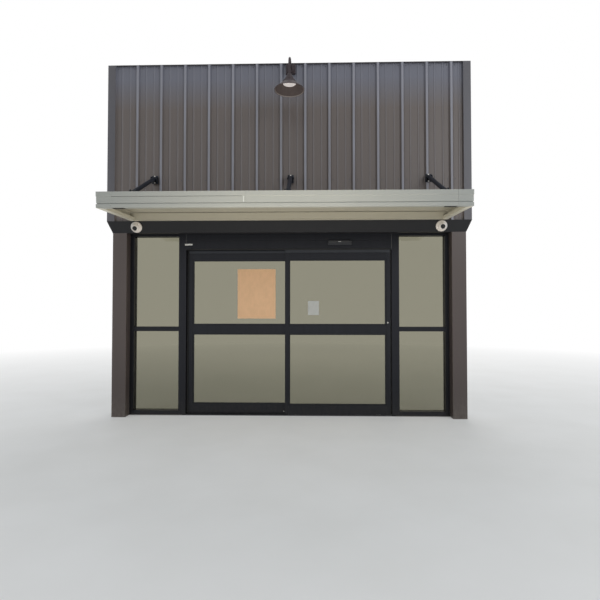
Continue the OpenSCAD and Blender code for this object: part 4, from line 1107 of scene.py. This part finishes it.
# %% Brush seals of the door
head_low, head_high = box_mm("header")
across, down = (1, 0, 0), (0, 0, -1)
brush_seal("sweep_bristles", (leaf_low.x + 4, leaf_low.y + 8, leaf_low.z + 1), across, down,
           leaf_high.x - leaf_low.x - 8, 5.0, SLIDES)
brush_seal("meeting_bristles", (leaf_low.x + 30, leaf_high.y - 0.5, leaf_low.z + 6), UP, BACK,
           leaf_high.z - leaf_low.z - 12, 7.0, SLIDES)
brush_seal("header_bristles", (head_low.x + 4, leaf_low.y + 2, head_low.z + 1), across, down,
           head_high.x - head_low.x - 8, 14.0, STANDS)

# %% Rubber fin over the leaf and strip on the jamb
fins = bmesh.new()
block(fins, (head_low.x, leaf_low.y - 7, leaf_high.z - 3),
      (head_high.x, leaf_low.y - 5.6, head_low.z), 0.2)
block(fins, (head_high.x - 7.3, -35, leaf_low.z), (head_high.x, -20, leaf_high.z), 2)
add_piece("door_weather_strips", fins, STANDS, rubber)

# %% [markdown]
# ## Cameras
# Each camera is a turret: a round base on the sloping fascia, a ball in it and a sunk
# black lens window in the ball. All three are turned parts about two axes.

# %% Turn the two cameras
def ball_outline(radius, rim, floor):
    """Outline of a ball with a flat sunk window."""
    stop = math.degrees(math.asin(rim / radius))
    arc = [(radius * math.sin(math.radians(a)), -radius * math.cos(math.radians(a)))
           for a in range(12, int(180 - stop), 8)]
    edge = (rim, math.sqrt(radius ** 2 - rim ** 2))
    return [(0, -radius), *arc, edge, (rim - 1, edge[1] - 0.4), (rim - 3, floor), (0, floor)]


def turret(side, look):
    """One camera: shell, black bezel and lens, with its ball turned to look that way."""
    base = Vector((side * 1920, -211.5, 2407))      # mm: middle of the base, on the fascia
    axis = Vector((0, -0.9325, -0.3612))            # square to the fascia
    centre = base + 34 * axis
    shell, black = bmesh.new(), bmesh.new()
    foot = [(0, 0), (69, 0), (70, 1.2), (70, 13), (68.8, 16), (60, 27.2), (56, 29.6), (0, 30)]
    bezel = [(0, 38), (28, 38), (28.2, 40.8), (26.4, 42.2), (15, 39.8), (0, 39.8)]
    lens = [(0, 40), (12, 40), (11.4, 41.8), (9, 43.4), (5, 44.4), (0, 44.8)]
    turned(shell, foot, base, axis, 72)
    turned(shell, ball_outline(52, 31, 38.5), centre, look, 72)
    turned(black, bezel, centre, look)
    turned(black, lens, centre, look)
    label = "left" if side < 0 else "right"
    add_piece("camera_shell_" + label, shell, STANDS, camera_shell,
              ["camera_" + label], 40)
    add_piece("camera_window_" + label, black, STANDS, camera_black, (), 40)


turret(-1, Vector((0.05, -0.91, -0.41)).normalized())
turret(1, Vector((-0.02, -0.97, -0.24)).normalized())

# %% [markdown]
# ## Lock, sensor face and small fittings
# The lock is a dark rose with a bright round plug and a keyway. Each sensor has a dark
# window across its upright face. Its shell is a copy whose face is set back by as much as
# the window stands out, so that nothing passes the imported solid. The outer one has a blank
# pale plate. A pale latch sits at the left end of the header, plates close its ends, and a
# release bolt shows low on the fixed panel.

# %% Lock of the leaf
lock_low, lock_high = box_mm("lock_cylinder")
spot = ((lock_low.x + lock_high.x) / 2, lock_high.y, (lock_low.z + lock_high.z) / 2)
rose, plug = bmesh.new(), bmesh.new()
turned(rose, [(0, -0.5), (15.6, -0.5), (16, 0), (16, 2.4), (15, 3.1), (10.8, 3.3), (10.4, 2.8),
              (0, 2.8)], spot, FRONT)
turned(plug, [(0, 0), (10, 0), (10, 3.5), (9.4, 3.9), (0, 3.9)], spot, FRONT)
keyway = ((spot[0] - 0.7, spot[1] - 3.99, spot[2] - 4), (spot[0] + 0.7, spot[1] - 3, spot[2] + 4))
add_piece("lock_rose", rose, SLIDES, door_coat, ["lock_cylinder"], 40)
add_piece("lock_plug", plug, SLIDES, bright_metal, (), 40)
add_blocks("lock_keyway", [keyway], SLIDES, camera_black, 0.1)

# %% Sensors
WINDOW_PROUD = 0.6       # mm that a window stands out of its shell

windows = bmesh.new()
for node, side in (("sensor_outside", 0), ("sensor_inside", 1)):
    corners = box_mm(node)
    low, high = corners
    face, outwards = corners[side].y, 2 * side - 1
    shell = copy_of(node, 3.0)
    for vert in shell.verts:
        if abs(vert.co.y / MM - face) < 0.05:
            vert.co.y -= outwards * WINDOW_PROUD * MM
    add_piece(node + "_worked", shell, STANDS, sensor_shell, [node])
    near, far = sorted((face - outwards * 3, face))
    block(windows, (low.x + 12, near, low.z + 36), (high.x - 12, far, low.z + 52), 0.5)
add_piece("sensor_windows", windows, STANDS, sensor_lens)

# %% Sensor plate and header fittings
sensor_face = box_mm("sensor_outside")[0].y
plate = ((640, sensor_face - 0.8, 2226), (674, sensor_face + 1.1, 2231))
latch = ((-1340, head_low.y - 12, 2192), (-1240, head_low.y, 2212))
keeper = ((-1332, head_low.y - 9, 2144), (-1250, head_low.y, 2190))
ends = [((x, head_low.y - 0.8, head_low.z), (x + 1.6, head_low.y + 4, head_high.z))
        for x in (head_low.x, head_high.x - 1.6)]
add_blocks("sensor_plate", [plate], STANDS, latch_shell, 0.5)
add_blocks("header_latch", [latch], STANDS, latch_shell, 2.5)
add_blocks("header_latch_keeper", [keeper], STANDS, door_coat, 1.5)
add_blocks("header_end_plates", ends, STANDS, bolt_metal, 0.2)

# %% Screws of the door set
sill_top = box_mm("threshold")[1].z
sill_points = [(-1260 + 252 * k, y, sill_top - 0.6) for k in range(11) for y in (-48, 46)]
fasteners("threshold_screws", sill_points, UP, bolt_metal, (4, 0.3, 4.5, 0.7))
cover_back = box_mm("header_cover")[1].y
cover_points = [(x, cover_back, z) for x in (-1290, -430, 430, 1290) for z in (2186, 2326)]
fasteners("cover_screws", cover_points, BACK, bolt_metal, (6, 2, 5, 0.8))
bolt_place = (-60, box_mm("fixed_frame")[0].y, 45)
bolt = bmesh.new()
turned(bolt, [(0, -0.5), (7, -0.5), (7, 1.6), (5.6, 3), (0, 3.4)], bolt_place, FRONT, 32)
add_piece("release_bolt", bolt, STANDS, bright_metal, (), 40)

# %% [markdown]
# ## Sheets on the glass and sealant
# A peach card sits on the fixed pane and a small pale card on the leaf; both are bare.
# Dark sealant joins the sidelites to the piers, and pale sealant runs along their foot.

# %% Cards and sealant
fixed_face = box_mm("fixed_glass_upper")[0].y
leaf_face = box_mm("leaf_glass_upper")[0].y
card = ((-667, fixed_face - 0.7, 1244), (-170, fixed_face - 0.2, 1890))
note = ((253, leaf_face - 0.6, 1291), (395, leaf_face - 0.2, 1471))
beside_pier = [((a, -62, 0), (b, -56.5, 2335)) for a, b in ((-2057, -2052), (2052, 2057))]
on_ground = [((a, -66, 0), (b, -56.5, 7)) for a, b in ((-2051, -1371), (1371, 2051))]
add_blocks("window_card", [card], STANDS, peach_sheet, 0.1)
add_blocks("leaf_card", [note], SLIDES, white_sheet, 0.1)
add_blocks("pier_sealant", beside_pier, STANDS, rubber, 1.5)
add_blocks("ground_sealant", on_ground, STANDS, sealant, 2.5)

# %% [markdown]
# ## Floor and light
# A studio floor near the object takes its shadow; farther out it fades into the white
# of the background, so that no horizon cuts the picture. That white is only for the eye
# and for mirrors: it throws no light on the object.
# The world is white for the camera, for reflections and for what glass shows, and
# weaker for the light that it casts. Large soft lamps give the shapes direction, and a
# low one gives the warm light that reaches the canopy from below.

# %% Floor
def seen_directly(tree):
    """1 for the camera, for mirrors and for what glass shows; 0 for light that is cast."""
    ray = put(tree, "ShaderNodeLightPath").outputs
    reflected_or_through = maths(tree, "MAXIMUM", ray["Is Glossy Ray"], ray["Is Transmission Ray"])
    return maths(tree, "MAXIMUM", ray["Is Camera Ray"], reflected_or_through)


floor_mesh = bpy.data.meshes.new("studio_floor")
disc = bmesh.new()
bmesh.ops.create_circle(disc, cap_ends=True, segments=96, radius=90)
disc.to_mesh(floor_mesh)
disc.free()
floor = bpy.data.objects.new("studio_floor", floor_mesh)
bpy.context.scene.collection.objects.link(floor)
pale, tree, into = new_finish("pale_floor", 0.6, specular=0.2)
mottle = spread(tree, marks(tree, 0.8, 0.8, 4), 0.3, 0.7)
tree.links.new(tint(tree, mottle, chart(226, 225, 222), chart(218, 217, 213)), into["Base Color"])
away = put(tree, "ShaderNodeVectorMath", {0: here(tree)}, operation="LENGTH").outputs["Value"]
glow = get(tree, "ShaderNodeEmission", {"Color": (1, 1, 1, 1), "Strength": 1.0})
faded = maths(tree, "MULTIPLY", spread(tree, away, 3, 13, 0.25, 1.0), seen_directly(tree))
matt = tree.nodes["Principled BSDF"].outputs[0]
mixed = get(tree, "ShaderNodeMixShader", {0: faded, 1: matt, 2: glow})
tree.links.new(mixed, tree.nodes["Material Output"].inputs[0])
floor_mesh.materials.append(pale)
floor.location.z = -0.0005
print("staged", floor.name)

# %% World and lamps
world = bpy.data.worlds.new("studio")
bpy.context.scene.world = world
world.use_nodes = True
tree = world.node_tree
soft = get(tree, "ShaderNodeBackground", {"Color": (0.86, 0.93, 1.0, 1), "Strength": 0.55})
white = get(tree, "ShaderNodeBackground", {"Color": (1, 1, 1, 1), "Strength": 1.0})
sky = get(tree, "ShaderNodeMixShader", {0: seen_directly(tree), 1: soft, 2: white})
tree.links.new(sky, tree.nodes["World Output"].inputs[0])


def softbox(name, place, target, wide, tall, power, colour, mirrored=True):
    """A large rectangular lamp that looks at a point; glass and metal may mirror it."""
    lamp = bpy.data.lights.new(name, "AREA")
    lamp.shape, lamp.size, lamp.size_y = "RECTANGLE", wide, tall
    lamp.energy, lamp.color = power, colour
    stand = bpy.data.objects.new(name, lamp)
    stand.location = place
    stand.visible_camera, stand.visible_transmission, stand.visible_glossy = False, False, mirrored
    stand.rotation_euler = (Vector(target) - Vector(place)).to_track_quat("-Z", "Y").to_euler()
    bpy.context.scene.collection.objects.link(stand)


softbox("key", (7, -8, 6), (0, 0, 2), 6, 4, 190, (0.94, 0.97, 1))
softbox("fill", (-7, -8, 6), (0, 0, 2), 6, 4, 15, (1, 0.97, 0.93))
softbox("upward", (0, -2.6, 0.04), (0, -2.6, 1), 3.0, 1.4, 75, (1, 0.94, 0.84), mirrored=False)
softbox("back", (1, 9, 6), (0, 0, 1.6), 7, 4, 320, (1, 0.98, 0.95))
print("lamps:", len(bpy.data.lights))
